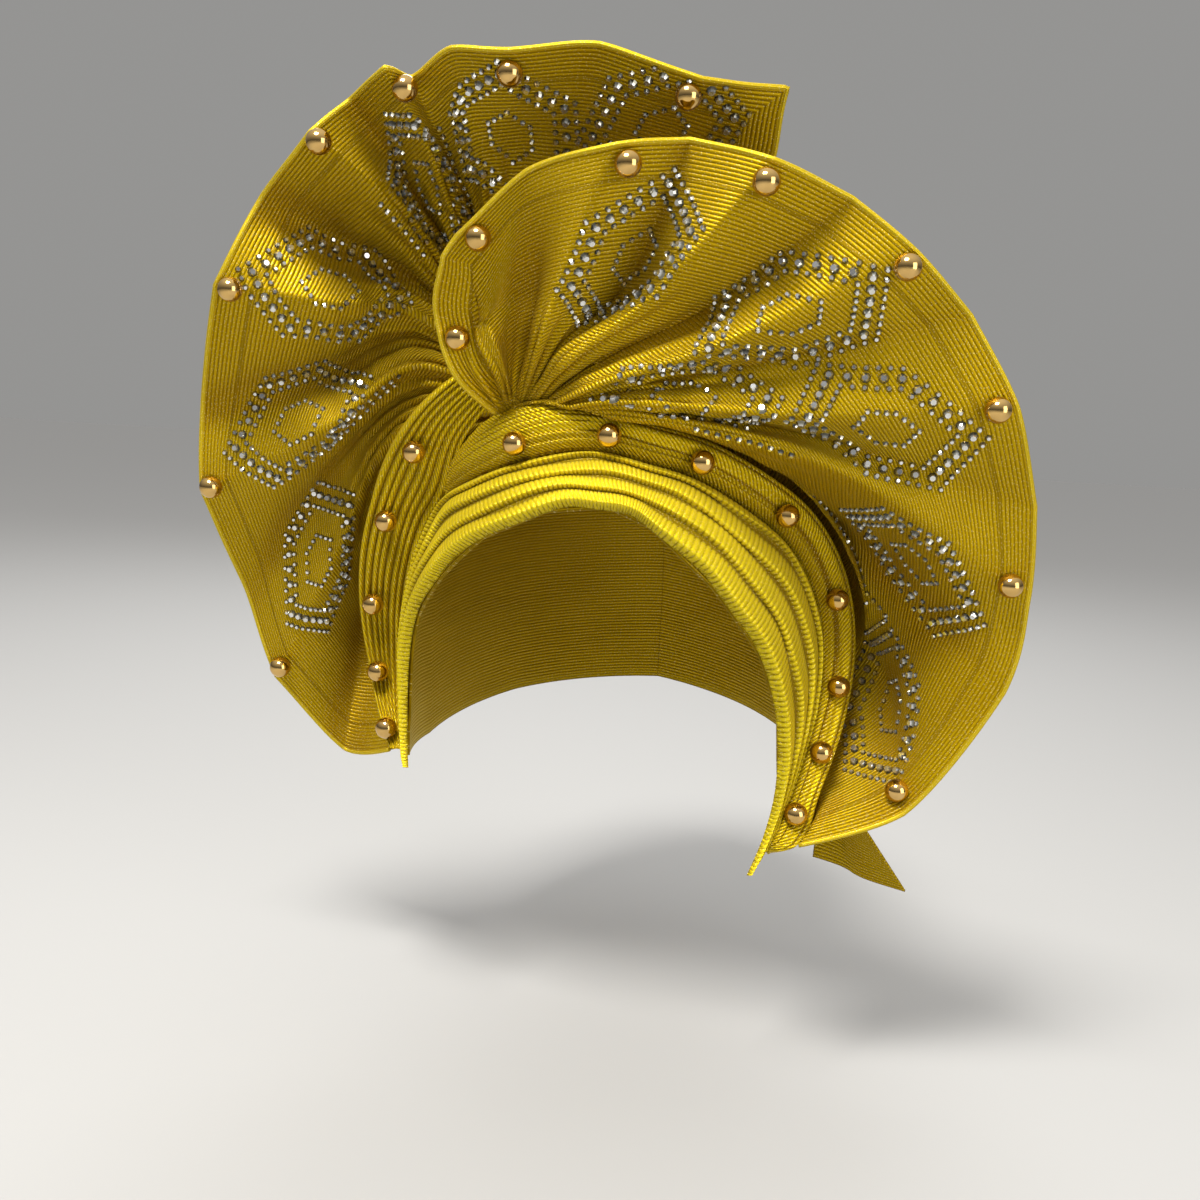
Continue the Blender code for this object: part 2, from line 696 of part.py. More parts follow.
def bead_mesh():
    """Round bead with a flat back, its back at the origin and its dome along +Z."""
    radius = BEAD_DIAMETER / 2.0
    base = radius * BEAD_BASE_SHARE
    builder = bmesh.new()
    bmesh.ops.create_uvsphere(builder, u_segments=10, v_segments=7, radius=radius)
    bmesh.ops.translate(builder, verts=builder.verts[:], vec=(0.0, 0.0, base))
    geometry = builder.verts[:] + builder.edges[:] + builder.faces[:]
    bmesh.ops.bisect_plane(builder, geom=geometry, plane_co=(0.0, 0.0, 0.0),
                           plane_no=(0.0, 0.0, -1.0), clear_outer=True)
    edges = [edge for edge in builder.edges if edge.is_boundary]
    bmesh.ops.holes_fill(builder, edges=edges, sides=0)
    bmesh.ops.triangulate(builder, faces=builder.faces[:])
    bmesh.ops.recalc_face_normals(builder, faces=builder.faces[:])
    mesh = bpy.data.meshes.new("bead")
    builder.to_mesh(mesh)
    builder.free()
    mesh.shade_smooth()
    mesh.set_sharp_from_angle(angle=math.radians(40.0))
    return mesh


def place_bead(collection, name, mesh, mat, seat, facing):
    item = add_object(collection, name, mesh, mat)
    item.location = seat + facing * BEAD_GAP
    item.rotation_mode = 'QUATERNION'
    item.rotation_quaternion = facing.to_track_quat('Z', 'Y')


def sheet_normal(surface, place, v, toward):
    """Unit normal of a surface, on the side of a direction."""
    across = surface(place + 0.2, v) - surface(max(place - 0.2, 0.0), v)
    along = surface(place, min(v + 0.02, 1.0)) - surface(place, v - 0.02)
    normal = across.cross(along).normalized()
    return normal if normal.dot(toward) > 0.0 else -normal


def build_fan_beads(collection, mesh, mat, name, surface, places):
    front = Vector((0.0, -1.0, 0.0))
    for number, (fold, share) in enumerate(places, start=1):
        normal = sheet_normal(surface, fold, share, front)
        seat = surface(fold, share) + normal * (CLOTH / 2.0)
        place_bead(collection, f"{name}_{number}", mesh, mat, seat, normal)


def build_roll_beads(collection, mesh, mat):
    """Beads on the steep face of the roll, which looks toward the forehead."""
    for number, share in enumerate(ROLL_BEADS, start=1):
        place, width, rise = roll_row(share)
        lower, upper = beyond_band(place, SEAT_GAP * 2.0, ROLL_WIDTH * width)
        height = CAP_WALL + SEAT_GAP + ROLL_RISE * rise * ROLL_BEAD_RISE
        middle = lower + (upper - lower) * ROLL_BEAD_ACROSS
        seat = head_point(*middle, height)
        outward = (head_point(*middle, height + 0.01) - seat).normalized()
        toward_face = (head_point(*lower, height) - head_point(*upper, height)).normalized()
        facing = (outward * 0.5 + toward_face * 0.87).normalized()
        place_bead(collection, f"bead_roll_{number}", mesh, mat, seat + facing * BEAD_STAND, facing)


def build_bundle_beads(collection, mesh, mat):
    """Beads on the front edges of the knife pleats."""
    back = BUNDLE_LEAN * BUNDLE_BEAD_UP
    for number, share in enumerate(BUNDLE_BEADS, start=1):
        seat = bundle_point(share, back, BUNDLE_BEAD_UP)
        outward = (bundle_point(share, back, 1.0) - seat).normalized()
        forward = (seat - bundle_point(share, 1.0, BUNDLE_BEAD_UP)).normalized()
        before = bundle_point(share - 0.04, back, BUNDLE_BEAD_UP)
        run = (bundle_point(share + 0.04, back, BUNDLE_BEAD_UP) - before).normalized()
        facing = outward * 0.35 + forward
        facing = (facing - run * facing.dot(run)).normalized()
        seat += facing * BUNDLE_BEAD_STAND
        place_bead(collection, f"bead_left_{number}", mesh, mat, seat, facing)


def main():
    clear_scene()
    collection = make_collection("gele_head_tie")
    cloth = material("ribbed cloth", YELLOW, 0.55, 0.0)
    band_cloth = material("band cloth", BAND_YELLOW, 0.55, 0.0)
    gold = material("bead gold", GOLD, 0.15, 1.0)
    build_crown_cap(collection, cloth)
    build_forehead_band(collection, band_cloth)
    build_nape_band(collection, cloth)
    build_front_roll(collection, cloth)
    build_left_pleats(collection, cloth)
    build_front_fan(collection, cloth)
    build_back_fan(collection, cloth)
    build_tail(collection, cloth)
    bead = bead_mesh()
    build_fan_beads(collection, bead, gold, "bead_front", front_fan_surface(), FRONT_BEADS)
    build_fan_beads(collection, bead, gold, "bead_back", back_fan_surface(), BACK_BEADS)
    build_roll_beads(collection, bead, gold)
    build_bundle_beads(collection, bead, gold)


main()
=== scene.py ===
"""Looks of the tied gele head tie: ribbed yellow cloth, gold beads and rows of clear stones.

Metres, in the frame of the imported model: the origin is the crown of the head, +Z is up, the face
looks along -Y and the wearer's left is +X.
"""
import math

import bmesh
import bpy
import numpy as np
from mathutils import Matrix, Vector


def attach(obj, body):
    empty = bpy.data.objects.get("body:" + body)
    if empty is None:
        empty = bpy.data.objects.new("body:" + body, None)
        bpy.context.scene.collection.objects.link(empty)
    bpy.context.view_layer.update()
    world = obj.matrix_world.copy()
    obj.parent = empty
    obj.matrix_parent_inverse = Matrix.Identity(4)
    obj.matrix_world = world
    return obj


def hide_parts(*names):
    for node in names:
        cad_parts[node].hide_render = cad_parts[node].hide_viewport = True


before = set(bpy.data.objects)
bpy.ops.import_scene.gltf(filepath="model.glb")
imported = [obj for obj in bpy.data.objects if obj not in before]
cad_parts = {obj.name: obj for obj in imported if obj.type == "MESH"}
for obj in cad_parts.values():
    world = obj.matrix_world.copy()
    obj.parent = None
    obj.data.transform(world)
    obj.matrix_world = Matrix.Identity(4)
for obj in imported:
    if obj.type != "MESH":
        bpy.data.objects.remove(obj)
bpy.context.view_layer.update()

# Head form that the cap fits
HEAD_HALF_WIDTH = 0.077
HEAD_HALF_LENGTH = 0.097
HEAD_DROP = 0.112
HEAD_ROUNDNESS = 2.3

# Cloth and clearances
CAP_WALL = 0.0016
SEAT_GAP = 0.0005
BAND_RISE = 0.0042
NAPE_RISE = 0.0026
ROLL_RISE = 0.0125
ROLL_WIDTH = 0.0155
BUNDLE_RISE = 0.0225
BUNDLE_WIDTH = 0.0125
SHEET_WALL = 0.0010        # visible thickness of one layer with its folded hem
HEM_WIDTH = 0.0115
RIB_PITCH = 0.0014
BAND_RIBS = 196            # ribs from end to end of the forehead band
HEM_PITCH = 0.00135

# Fans
CLOTH = 0.0014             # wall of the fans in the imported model, which the beads stand on
FAN_REACH = 0.180          # metres for a reach of 1 in the fold tables
FAN_DEPTH = 0.060          # metres for a forward step of 1 in them
FAN_FACING = (0.0, -1.0, 0.25)
ROOT_SHARE = 0.018         # reach of the gathered root
SEAT_FALL = 0.16           # share of the seat line that leads from the root to the cap
SEAT_BEYOND = 0.38         # how far beyond the roll the front fan lies down, in roll widths
CREST_CREASE = 0.25        # 0 rounds a fold, 1 makes it a sharp crease
FOLD_SPAN = 9              # grid lines to each side between which a point's depth is measured
GATHERS = 4.0              # small gathers in each fold, beside the knot
COLUMN_SIZE = 0.0065       # how far the curled column by the front fan's hemmed end stands out
TRIM_SHARE = 0.22          # how far the front fan's last corner is drawn back from the rim
TRIM_FOLDS = 0.28          # and over how much of the last fold
HEM_RADIUS = 0.00085
HEM_SIDES = 8

# Beads
BEAD_RADIUS = 0.004
BEAD_BASE_SHARE = 0.30     # how far the flat back lies behind the centre, a share of the radius

# Face-edge band: angle and drop of its lower and its upper edge
BAND_ROWS = [
    # lower angle, lower drop, upper angle, upper drop
    (-54, 1.25, -58, 1.235), (-57, 1.16, -64, 1.12), (-59, 1.02, -67, 0.97),
    (-58, 0.88, -66, 0.80), (-53, 0.74, -62, 0.63), (-43, 0.62, -58, 0.49),
    (-37, 0.55, -52, 0.39), (-28, 0.48, -39, 0.33), (-16, 0.42, -25, 0.28),
    (-4, 0.37, -9, 0.24), (6, 0.37, 4, 0.23), (14, 0.38, 19, 0.255),
    (20, 0.42, 33, 0.29), (32, 0.52, 48, 0.37), (40, 0.63, 61, 0.47),
    (48, 0.75, 70, 0.61), (54, 0.91, 74, 0.76), (57, 1.07, 72, 0.93),
    (57, 1.21, 66, 1.10), (54, 1.33, 59, 1.27), (49, 1.44, 51, 1.41),
]
# Share of the band's width that each pleat shows, from the face up
BAND_PLEATS = (0.27, 0.29, 0.29, 0.15)

# Lower edge of the cap: angle and drop
CAP_EDGE_ROWS = [
    (-180, 1.18), (-130, 1.22), (-90, 1.28), (-66, 1.26), (-61, 1.10),
    (-60, 0.92), (-55, 0.76), (-42, 0.61), (-28, 0.475), (-10, 0.385),
    (8, 0.36), (20, 0.41), (36, 0.57), (50, 0.78), (58, 1.00),
    (59, 1.20), (64, 1.36), (90, 1.36), (130, 1.26), (180, 1.18),
]

# Nape band: angle and drop of its lower edge
NAPE_WIDTH = 0.024
NAPE_ROWS = [
    (83, 1.345), (108, 1.29), (136, 1.22), (160, 1.17), (180, 1.155),
    (200, 1.16), (224, 1.18), (248, 1.22), (273, 1.255),
]

# Roll beside the band
ROLL_ROWS = [
    # band row, width share, rise share
    (5.9, 0.84, 0.46), (8.4, 0.88, 0.98), (10.0, 0.74, 0.94),
    (12.0, 0.78, 0.95), (14.0, 0.92, 1.00), (16.0, 1.00, 1.00),
    (17.5, 0.85, 0.90), (18.6, 0.60, 0.75), (19.6, 0.30, 0.45),
]
ROLL_PROFILE = [
    # across, rise
    (0.00, 0.22), (0.05, 0.48), (0.14, 0.52), (0.17, 0.66), (0.27, 0.74),
    (0.30, 0.88), (0.44, 1.00), (0.60, 0.92), (0.80, 0.62), (1.00, 0.14),
]

# Pleat bundle: angle and drop of its front foot, base height and rise as shares of BUNDLE_RISE
BUNDLE_ROWS = [
    # angle, drop, base share, rise share, width share
    (-33, 0.17, 0.68, 0.60, 0.75), (-44, 0.26, 0.42, 0.85, 0.90), (-54, 0.375, 0.00, 1.18, 1.00),
    (-60, 0.49, 0.00, 1.08, 1.00), (-64, 0.64, 0.00, 1.00, 1.00), (-68, 0.81, 0.00, 0.88, 1.00),
    (-69, 0.97, 0.00, 0.70, 0.90), (-66, 1.11, 0.00, 0.50, 0.70), (-61, 1.22, 0.00, 0.26, 0.45),
]
BUNDLE_PLEATS = 9
BUNDLE_LEAN = 0.25
BUNDLE_NOTCH = 0.13
BUNDLE_BACK = [
    # back, up
    (0.42, 0.99), (0.80, 0.80), (1.00, 0.40), (1.00, 0.00), (0.55, 0.00),
]

# Fold lines of the front fan, from the hemmed end beside the knot over the top to the roll's end
FRONT_FOLDS = [
    # root, near: dir, reach, fwd, half: dir, reach, fwd, rim: dir, reach, fwd
    (190, 140, 0.070, 0.12, 119, 0.175, 0.25, 103, 0.255, 0.40),
    (140, 92, 0.080, 0.05, 95, 0.160, 0.10, 97, 0.285, 0.40),
    (112, 78, 0.115, 0.08, 79, 0.210, 0.19, 76, 0.395, 0.50),
    (92, 50, 0.140, 0.16, 57, 0.240, 0.30, 60, 0.480, 0.59),
    (76, 41, 0.160, 0.06, 43, 0.310, 0.05, 51, 0.560, 0.45),
    (62, 33, 0.160, 0.15, 34, 0.355, 0.29, 39, 0.630, 0.59),
    (50, 23, 0.190, 0.06, 26, 0.410, 0.09, 30, 0.705, 0.40),
    (40, 15, 0.195, 0.15, 17, 0.435, 0.29, 21, 0.765, 0.40),
    (30, 10, 0.200, 0.06, 12, 0.485, 0.09, 13, 0.830, 0.20),
    (22, 6, 0.205, 0.12, 2, 0.520, 0.15, 3, 0.900, 0.07),
    (15, 3, 0.215, 0.05, -1, 0.535, -0.05, -7, 0.960, -0.16),
    (8, 0, 0.220, 0.07, -6, 0.580, -0.01, -16, 1.005, -0.30),
    (0, 0, 0.225, -0.03, -17, 0.640, -0.72, -26, 1.050, -0.38),
    (-8, -3, 0.255, -0.16, -30, 0.790, -0.95, -42, 1.060, -0.38),
]

# Fold lines of the back fan, from its cut end at the top round to the wearer's right ear
BACK_FOLDS = [
    # root, near: dir, reach, fwd, half: dir, reach, fwd, rim: dir, reach, fwd
    (20, 40, 0.215, -0.12, 34, 0.520, 0.22, 43.5, 0.685, 0.47),
    (38, 56, 0.212, -0.10, 55, 0.420, 0.17, 52, 0.595, 0.67),
    (54, 73, 0.202, -0.11, 70, 0.395, 0.23, 69, 0.555, 0.73),
    (68, 90, 0.210, -0.07, 85, 0.375, 0.23, 83, 0.505, 0.83),
    (80, 100, 0.230, -0.07, 97, 0.385, 0.30, 95, 0.510, 0.80),
    (90, 108, 0.230, -0.13, 107, 0.367, 0.13, 105, 0.490, 0.67),
    (100, 114, 0.220, -0.04, 109, 0.405, 0.40, 108, 0.500, 0.83),
    (110, 123, 0.225, -0.13, 121, 0.380, 0.13, 119, 0.505, 0.63),
    (120, 130, 0.212, -0.04, 126, 0.375, 0.40, 128, 0.480, 0.77),
    (130, 142, 0.210, -0.13, 146, 0.405, 0.13, 146, 0.505, 0.57),
    (142, 151, 0.200, -0.04, 161, 0.330, 0.38, 166, 0.505, 0.68),
    (156, 163, 0.196, -0.14, 183, 0.390, 0.03, 188, 0.595, 0.30),
    (170, 178, 0.185, -0.08, 199, 0.360, 0.20, 203, 0.670, 0.17),
    (184, 194, 0.210, -0.17, 210, 0.490, -0.20, 219, 0.755, -0.20),
    (198, 206, 0.257, -0.15, 224, 0.525, -0.22, 231, 0.865, -0.37),
    (212, 222, 0.370, -0.36, 235, 0.670, -0.67, 244, 0.940, -0.60),
]
# The back fan's last fold lies on the cap behind the pleat bundle: angle, drop
BACK_SEAT_ROWS = [
    (-62, 0.14), (-82, 0.36), (-89, 0.62), (-90, 0.88), (-84, 1.08), (-72, 1.26),
]

# Tail: free end of the cloth behind the wearer's left ear
TAIL_LENGTH = 0.044
TAIL_SPREAD = 0.034
TAIL_FLARE = 0.013
TAIL_WAVE = 0.0025
TAIL_ANGLE = 91.0
TAIL_SWEEP = 15.0
TAIL_DROP = 1.22

# Stones: radius of a small and a large one, and their spacing along a row
SMALL_STONE = (0.00115, 0.0034)
LARGE_STONE = (0.00175, 0.0050)
STONE_HEIGHT = 0.85        # share of its radius
STONE_TABLE = 0.50         # radius of its flat top, a share of the radius
STONE_RAISED = 0.42        # how far its middle stands off the cloth, a share of its height
STONE_TURN = 2.399         # turn from one stone to the next, so that their facets differ
BACKWARD = 0.10            # a stone whose normal has a larger Y faces backward and is left out
# Hexagons of stones: half length along the folds, half width across them, stone
HEXAGONS = [
    (0.0300, 0.0215, SMALL_STONE),
    (0.0255, 0.0180, LARGE_STONE),
    (0.0210, 0.0145, SMALL_STONE),
    (0.0098, 0.0066, (0.00110, 0.0028)),
]
# Middle of each hexagon: fold place and share of the way from the root to the rim
FRONT_HEXAGONS = [(3.95, 0.70), (7.05, 0.73), (9.32, 0.76), (11.6, 0.77), (13.0, 0.76), (8.7, 0.42)]
BACK_HEXAGONS = [(1.1, 0.79), (3.25, 0.68), (6.5, 0.52), (9.8, 0.61), (11.7, 0.69), (13.8, 0.69)]
# Single rows of stones along a fold: fold place, start and end share
FRONT_STONE_ROWS = [(11.0, 0.40, 0.56), (12.45, 0.34, 0.70), (12.6, 0.34, 0.62)]
BACK_STONE_ROWS = [(12.1, 0.34, 0.60), (12.4, 0.34, 0.60), (8.1, 0.35, 0.60), (4.9, 0.40, 0.80)]

# Both fans. The knot and the gathered root are each an angle, a drop and a height above the head.
# Stations are the shares from root to rim where the fold tables give a point. Sharp folds have
# the crease value, the others CREST_CREASE. The seat is the line where the last fold lies down.
FRONT_FAN = {
    "node": "front_fan", "on_roll": True, "folds": FRONT_FOLDS, "stations": (0.0, 0.25, 0.58, 1.0),
    "knot": (-27.0, 0.22, 0.0205), "gather": (-27.0, 0.22 - 0.025, 0.0205 - 0.0110),
    "sharp": (1, 4, 6, 8, 10), "crease": 0.85, "seat_turn": -22.0,
    "seat_height": CAP_WALL + 2.4 * SEAT_GAP + CLOTH / 2.0,
    "per_fold": 22, "steps": 96, "gather_size": 0.0009, "dent_size": 0.0004,
    "hexagons": FRONT_HEXAGONS, "stone_rows": FRONT_STONE_ROWS}
BACK_FAN = {
    "node": "back_fan", "on_roll": False, "folds": BACK_FOLDS, "stations": (0.0, 0.25, 0.60, 1.0),
    "knot": (-38.0, 0.12, 0.0190), "gather": (-38.0, 0.12, 0.0190 - 0.0142),
    "sharp": (1, 3, 6, 8, 10, 12, 14), "crease": 0.90, "seat_turn": 226.0,
    "seat_height": CAP_WALL + 2.7 * SEAT_GAP + CLOTH / 2.0,
    "per_fold": 20, "steps": 84, "gather_size": 0.0010, "dent_size": 0.0004,
    "hexagons": BACK_HEXAGONS, "stone_rows": BACK_STONE_ROWS}

# Camera fitted to the photograph: azimuth, elevation and roll in degrees, target, distance
CAMERA_ANGLES = (12.0, 9.0, -3.0)
CAMERA_TARGET = (0.011, -0.095, -0.067)
CAMERA_DISTANCE = 0.370
CAMERA_LENS = 36.0
WALL_COLOUR = (0.30, 0.297, 0.29)
FLOOR_DROP = 0.245         # the table under a display head's neck, below the crown

# Lamps, all turned to one point: name, place, width and height, watts, colour
LAMP_TARGET = (0.0, -0.03, -0.05)
LAMPS = [
    ("key", (-0.17, -0.62, 0.94), (0.40, 0.30), 20.0, (1.0, 0.98, 0.94)),
    ("fill", (0.95, -0.65, 0.15), (0.6, 0.8), 5.0, (1.0, 0.97, 0.92)),
    ("back", (-0.25, 0.95, 0.75), (0.9, 0.5), 6.0, (0.96, 0.98, 1.0)),
]

# Cloths: colours of the ribs, the painted shade of the grooves and the painted shade of the deep
# folds, then the depth of the ribs, the width of the hem, the pitch of the ribs and how much deep
# folds take on that painted shade
# Painted brown shade for the deep folds and crevices of the cloth.
FOLD_SHADE = (0.27, 0.125, 0.0005)
PLAIN_COLOURS = ((0.54, 0.355, 0.0015), (0.25, 0.156, 0.0006), FOLD_SHADE)
PLEAT_COLOURS = ((0.66, 0.475, 0.004), (0.28, 0.19, 0.0010), (0.20, 0.105, 0.0005))
# The band's colours are lighter than the fans': partly the brighter face of the cloth, partly
# painted light where the band faces the lamps.
BAND_COLOURS = ((0.88, 0.70, 0.020), (0.50, 0.38, 0.004), (0.20, 0.125, 0.001))
HEM_COLOURS = ((0.66, 0.49, 0.02), (0.46, 0.32, 0.008), FOLD_SHADE)
CLOTHS = {
    "fan": ("ribbed faille", PLAIN_COLOURS, 0.00035, HEM_WIDTH, RIB_PITCH, 0.45),
    "wrap": ("ribbed faille of the wrap", PLAIN_COLOURS, 0.00030, 0.0, RIB_PITCH, 0.45),
    "pleats": ("ribbed faille of the pleats", PLEAT_COLOURS, 0.00028, 0.0, 0.0013, 0.95),
    "band": ("ribbed faille of the band", BAND_COLOURS, 0.00005, 0.0, 0.0004, 1.0),
    "hem": ("ribbed faille of the hem", HEM_COLOURS, 0.00010, 0.0, 0.0008, 0.45),
}


def lengths(vectors):
    return np.sqrt((vectors * vectors).sum(axis=-1))


def run_lengths(points, axis):
    """Distance covered along an axis of a grid, up to each of its points."""
    steps = lengths(np.diff(points, axis=axis))
    return np.cumsum(np.insert(steps, 0, 0.0, axis=axis), axis=axis)


def smooth_step(value, start, end):
    share = np.clip((value - start) / (end - start), 0.0, 1.0)
    return share * share * (3.0 - 2.0 * share)


def girth(drop):
    """Share of the head's half widths at a drop below the crown."""
    height = np.clip(1.0 - np.asarray(drop, dtype=float), 0.0, 1.0)
    return (1.0 - height ** HEAD_ROUNDNESS) ** (1.0 / HEAD_ROUNDNESS)


def head_points(angle, drop, proud):
    """Points above the head form, along its outward normal."""
    angle, drop, proud = np.broadcast_arrays(angle, drop, proud)
    turn = np.radians(angle)
    height = np.clip(1.0 - drop, 0.0, 1.0)
    around = np.maximum(girth(drop), 1e-6)
    x = HEAD_HALF_WIDTH * around * np.sin(turn)
    y = -HEAD_HALF_LENGTH * around * np.cos(turn)
    slope = height ** (HEAD_ROUNDNESS - 1.0) * around ** (2.0 - HEAD_ROUNDNESS) / HEAD_DROP
    normal = np.stack((x / HEAD_HALF_WIDTH ** 2, y / HEAD_HALF_LENGTH ** 2, slope), axis=-1)
    normal = normal / lengths(normal)[..., None]
    return np.stack((x, y, -HEAD_DROP * drop), axis=-1) + normal * proud[..., None]


def on_head(rows, proud):
    """Points above the head form, from rows that start with an angle and a drop."""
    return head_points(rows[..., 0], rows[..., 1], proud)


def catmull_rom(before, start, end, after, t):
    return 0.5 * (2.0 * start + (end - before) * t
                  + (2.0 * before - 5.0 * start + 4.0 * end - after) * t * t
                  + (3.0 * start - before - 3.0 * end + after) * t ** 3)


def table_at(rows, place):
    """Rows of a table read at fractional places, along a smooth curve."""
    table = np.asarray(rows, dtype=float)
    last = len(table) - 1
    place = np.clip(np.asarray(place, dtype=float), 0.0, last)
    first = np.minimum(place.astype(int), last - 1)
    t = (place - first)[..., None]
    return catmull_rom(table[np.maximum(first - 1, 0)], table[first], table[first + 1],
                       table[np.minimum(first + 2, last)], t)


def table_share(rows, share):
    """Rows of a table read at shares of its length."""
    return table_at(rows, share * (len(rows) - 1))


def along_stations(stations, values, v):
    """Smooth curve through values that lie at uneven stations."""
    values = np.asarray(values, dtype=float)
    stations = np.asarray(stations)
    slopes = np.gradient(values, stations, axis=0)
    index = np.clip(np.searchsorted(stations, v) - 1, 0, len(stations) - 2)
    span = (stations[index + 1] - stations[index])[:, None]
    t = (v - stations[index])[:, None] / span
    square = t * t
    cube = square * t
    return ((2 * cube - 3 * square + 1) * values[index]
            + (cube - 2 * square + t) * span * slopes[index]
            + (3 * square - 2 * cube) * values[index + 1]
            + (cube - square) * span * slopes[index + 1])


def above_head(points):
    """Distance of points above the head form and the outward directions there."""
    power = HEAD_ROUNDNESS
    x = points[..., 0] / HEAD_HALF_WIDTH
    y = points[..., 1] / HEAD_HALF_LENGTH
    height = np.maximum(0.0, (points[..., 2] + HEAD_DROP) / HEAD_DROP)
    around = np.maximum(x * x + y * y, 1e-6)
    level = around ** (power / 2.0) + height ** power
    steep = power * around ** (power / 2.0 - 1.0)
    slope = np.stack((steep * x / HEAD_HALF_WIDTH, steep * y / HEAD_HALF_LENGTH,
                      power * height ** (power - 1.0) / HEAD_DROP), axis=-1)
    length = lengths(slope)
    distance = (level ** (1.0 / power) - 1.0) * power * level ** (1.0 - 1.0 / power) / length
    return distance, slope / length[..., None]


def clear_of_head(points, margin):
    """Points moved out until they lie a margin above the head form."""
    for _ in range(3):
        distance, outward = above_head(points)
        points = points + outward * np.maximum(0.0, margin - distance)[..., None]
    return points


def beyond_band(place, gap, width):
    """Rows of two points on the crown's side of the band's upper edge, as angle and drop."""
    row = table_at(BAND_ROWS, place)
    edge = row[..., 2:]
    here = on_head(edge, 0.0)
    step = (edge - row[..., :2]) / np.maximum(lengths(here - on_head(row, 0.0)), 0.004)[..., None]
    ahead = table_at(BAND_ROWS, place + 0.1)[..., 2:] - table_at(BAND_ROWS, place - 0.1)[..., 2:]
    along = on_head(edge + ahead, 0.0) - here
    side = on_head(edge + step * 0.001, 0.0) - here
    run = np.maximum(lengths(along), 1e-6)[..., None]
    along = along / run
    lean = (side * along).sum(axis=-1)[..., None]
    square = np.maximum(lengths(side - along * lean), 0.0003)[..., None]
    outward = step * (0.001 / square) - ahead / run * lean / square
    return edge + outward * gap, edge + outward * (gap + width)


def roll_line(share):
    """Lower and upper edge of the roll, its rise and its width share, at shares of its length."""
    row = table_share(ROLL_ROWS, share)
    width = (ROLL_WIDTH * row[..., 1])[..., None]
    lower, upper = beyond_band(row[..., 0], SEAT_GAP * 2.0, width)
    return lower, upper, ROLL_RISE * row[..., 2], row[..., 1]


def clear_of_roll(points, margin):
    """Points lifted off the head until they clear the roll, as cloth lies over a rope."""
    lower, upper, rise, width = roll_line(np.linspace(0.0, 1.0, 81))
    middle = lower + (upper - lower) * 0.48
    centres = on_head(middle, CAP_WALL + rise * 0.46)
    reach = 0.5 * np.maximum(rise, ROLL_WIDTH * width) * 1.12 + margin
    outward = above_head(points)[1]
    lift = np.zeros(points.shape[:-1])
    for centre, radius in zip(centres, reach):
        offset = points - centre
        along = (offset * outward).sum(axis=-1)
        inside = along ** 2 + radius ** 2 - (offset ** 2).sum(axis=-1)
        rise_to = np.sqrt(np.maximum(inside, 0.0)) - along
        lift = np.where(inside > 0.0, np.maximum(lift, rise_to), lift)
    return points + outward * lift[..., None]


def polar_point(centre, direction, reach, forward):
    """Point at a direction and a reach from a centre, and some way forward of it."""
    turn = math.radians(direction)
    return np.array((centre[0] + FAN_REACH * reach * math.cos(turn),
                     centre[1] - FAN_DEPTH * forward,
                     centre[2] + FAN_REACH * reach * math.sin(turn)))


def across_folds(curves, places, creases):
    """Grid of points across the folds, drawn toward straight panels beside the sharp folds."""
    count = len(curves) - 1
    sharp = np.interp(places, np.arange(count + 1), creases)[:, None, None]
    first = np.minimum(places.astype(int), count - 1)
    t = (places - first)[:, None, None]
    start = curves[first]
    end = curves[first + 1]
    smooth = catmull_rom(curves[np.maximum(first - 1, 0)], start, end,
                         curves[np.minimum(first + 2, count)], t)
    return smooth + (start + (end - start) * t - smooth) * sharp


def seat_rows(fan, v):
    """Angle and drop of the line where a fan's last fold lies on the cap."""
    if fan["on_roll"]:
        lower, upper = roll_line(0.10 + 0.90 * v)[:2]
        return upper + (upper - lower) * SEAT_BEYOND
    return table_share(BACK_SEAT_ROWS, v)


def fan_grid(fan, places, v):
    """Grid of a fan: its fold lines from the gathered root to the rim, then the seat line."""
    knot = head_points(*fan["knot"])
    gather = head_points(*fan["gather"])
    curves = []
    for row in fan["folds"]:
        points = [polar_point(gather, row[0], ROOT_SHARE, 0.0)]
        for first in (1, 4, 7):
            points.append(polar_point(knot, *row[first:first + 3]))
        curves.append(along_stations(fan["stations"], points, v))
    rest = on_head(seat_rows(fan, v), fan["seat_height"])
    start = polar_point(gather, fan["seat_turn"], ROOT_SHARE, 0.0)
    fall = np.maximum(0.0, 1.0 - v / SEAT_FALL) ** 2
    curves.append(rest + (start - rest) * fall[:, None])
    creases = [fan["crease"] if fold in fan["sharp"] else CREST_CREASE
               for fold in range(len(curves))]
    return across_folds(np.array(curves), places, creases)


def grid_normals(points):
    """Unit normals of a fan's grid, turned to the side that it shows."""
    normals = np.cross(np.gradient(points, axis=0), np.gradient(points, axis=1))
    normals = normals / np.maximum(lengths(normals), 1e-12)[..., None]
    facing = float((normals @ np.array(FAN_FACING)).mean())
    return normals if facing > 0.0 else -normals


def cloth_metres(points):
    """Distances in the cloth: from the side where the places start, and from the rim."""
    along = run_lengths(points, 1)
    return run_lengths(points, 0), along[:, -1:] - along


def depth_in_folds(points, normals):
    """0 on a crest and 1 in a valley: how far each point lies behind its neighbours across."""
    padded = np.concatenate((np.repeat(points[:1], FOLD_SPAN, axis=0), points,
                             np.repeat(points[-1:], FOLD_SPAN, axis=0)))
    around = (padded[:-2 * FOLD_SPAN] + padded[2 * FOLD_SPAN:]) / 2.0
    behind = ((around - points) * normals).sum(axis=-1)
    return np.clip(0.5 + behind / 0.008, 0.0, 1.0)


def new_mesh(builder, name):
    """Mesh of what was built, after which the builder is freed."""
    mesh = bpy.data.meshes.new(name)
    builder.to_mesh(mesh)
    builder.free()
    return mesh


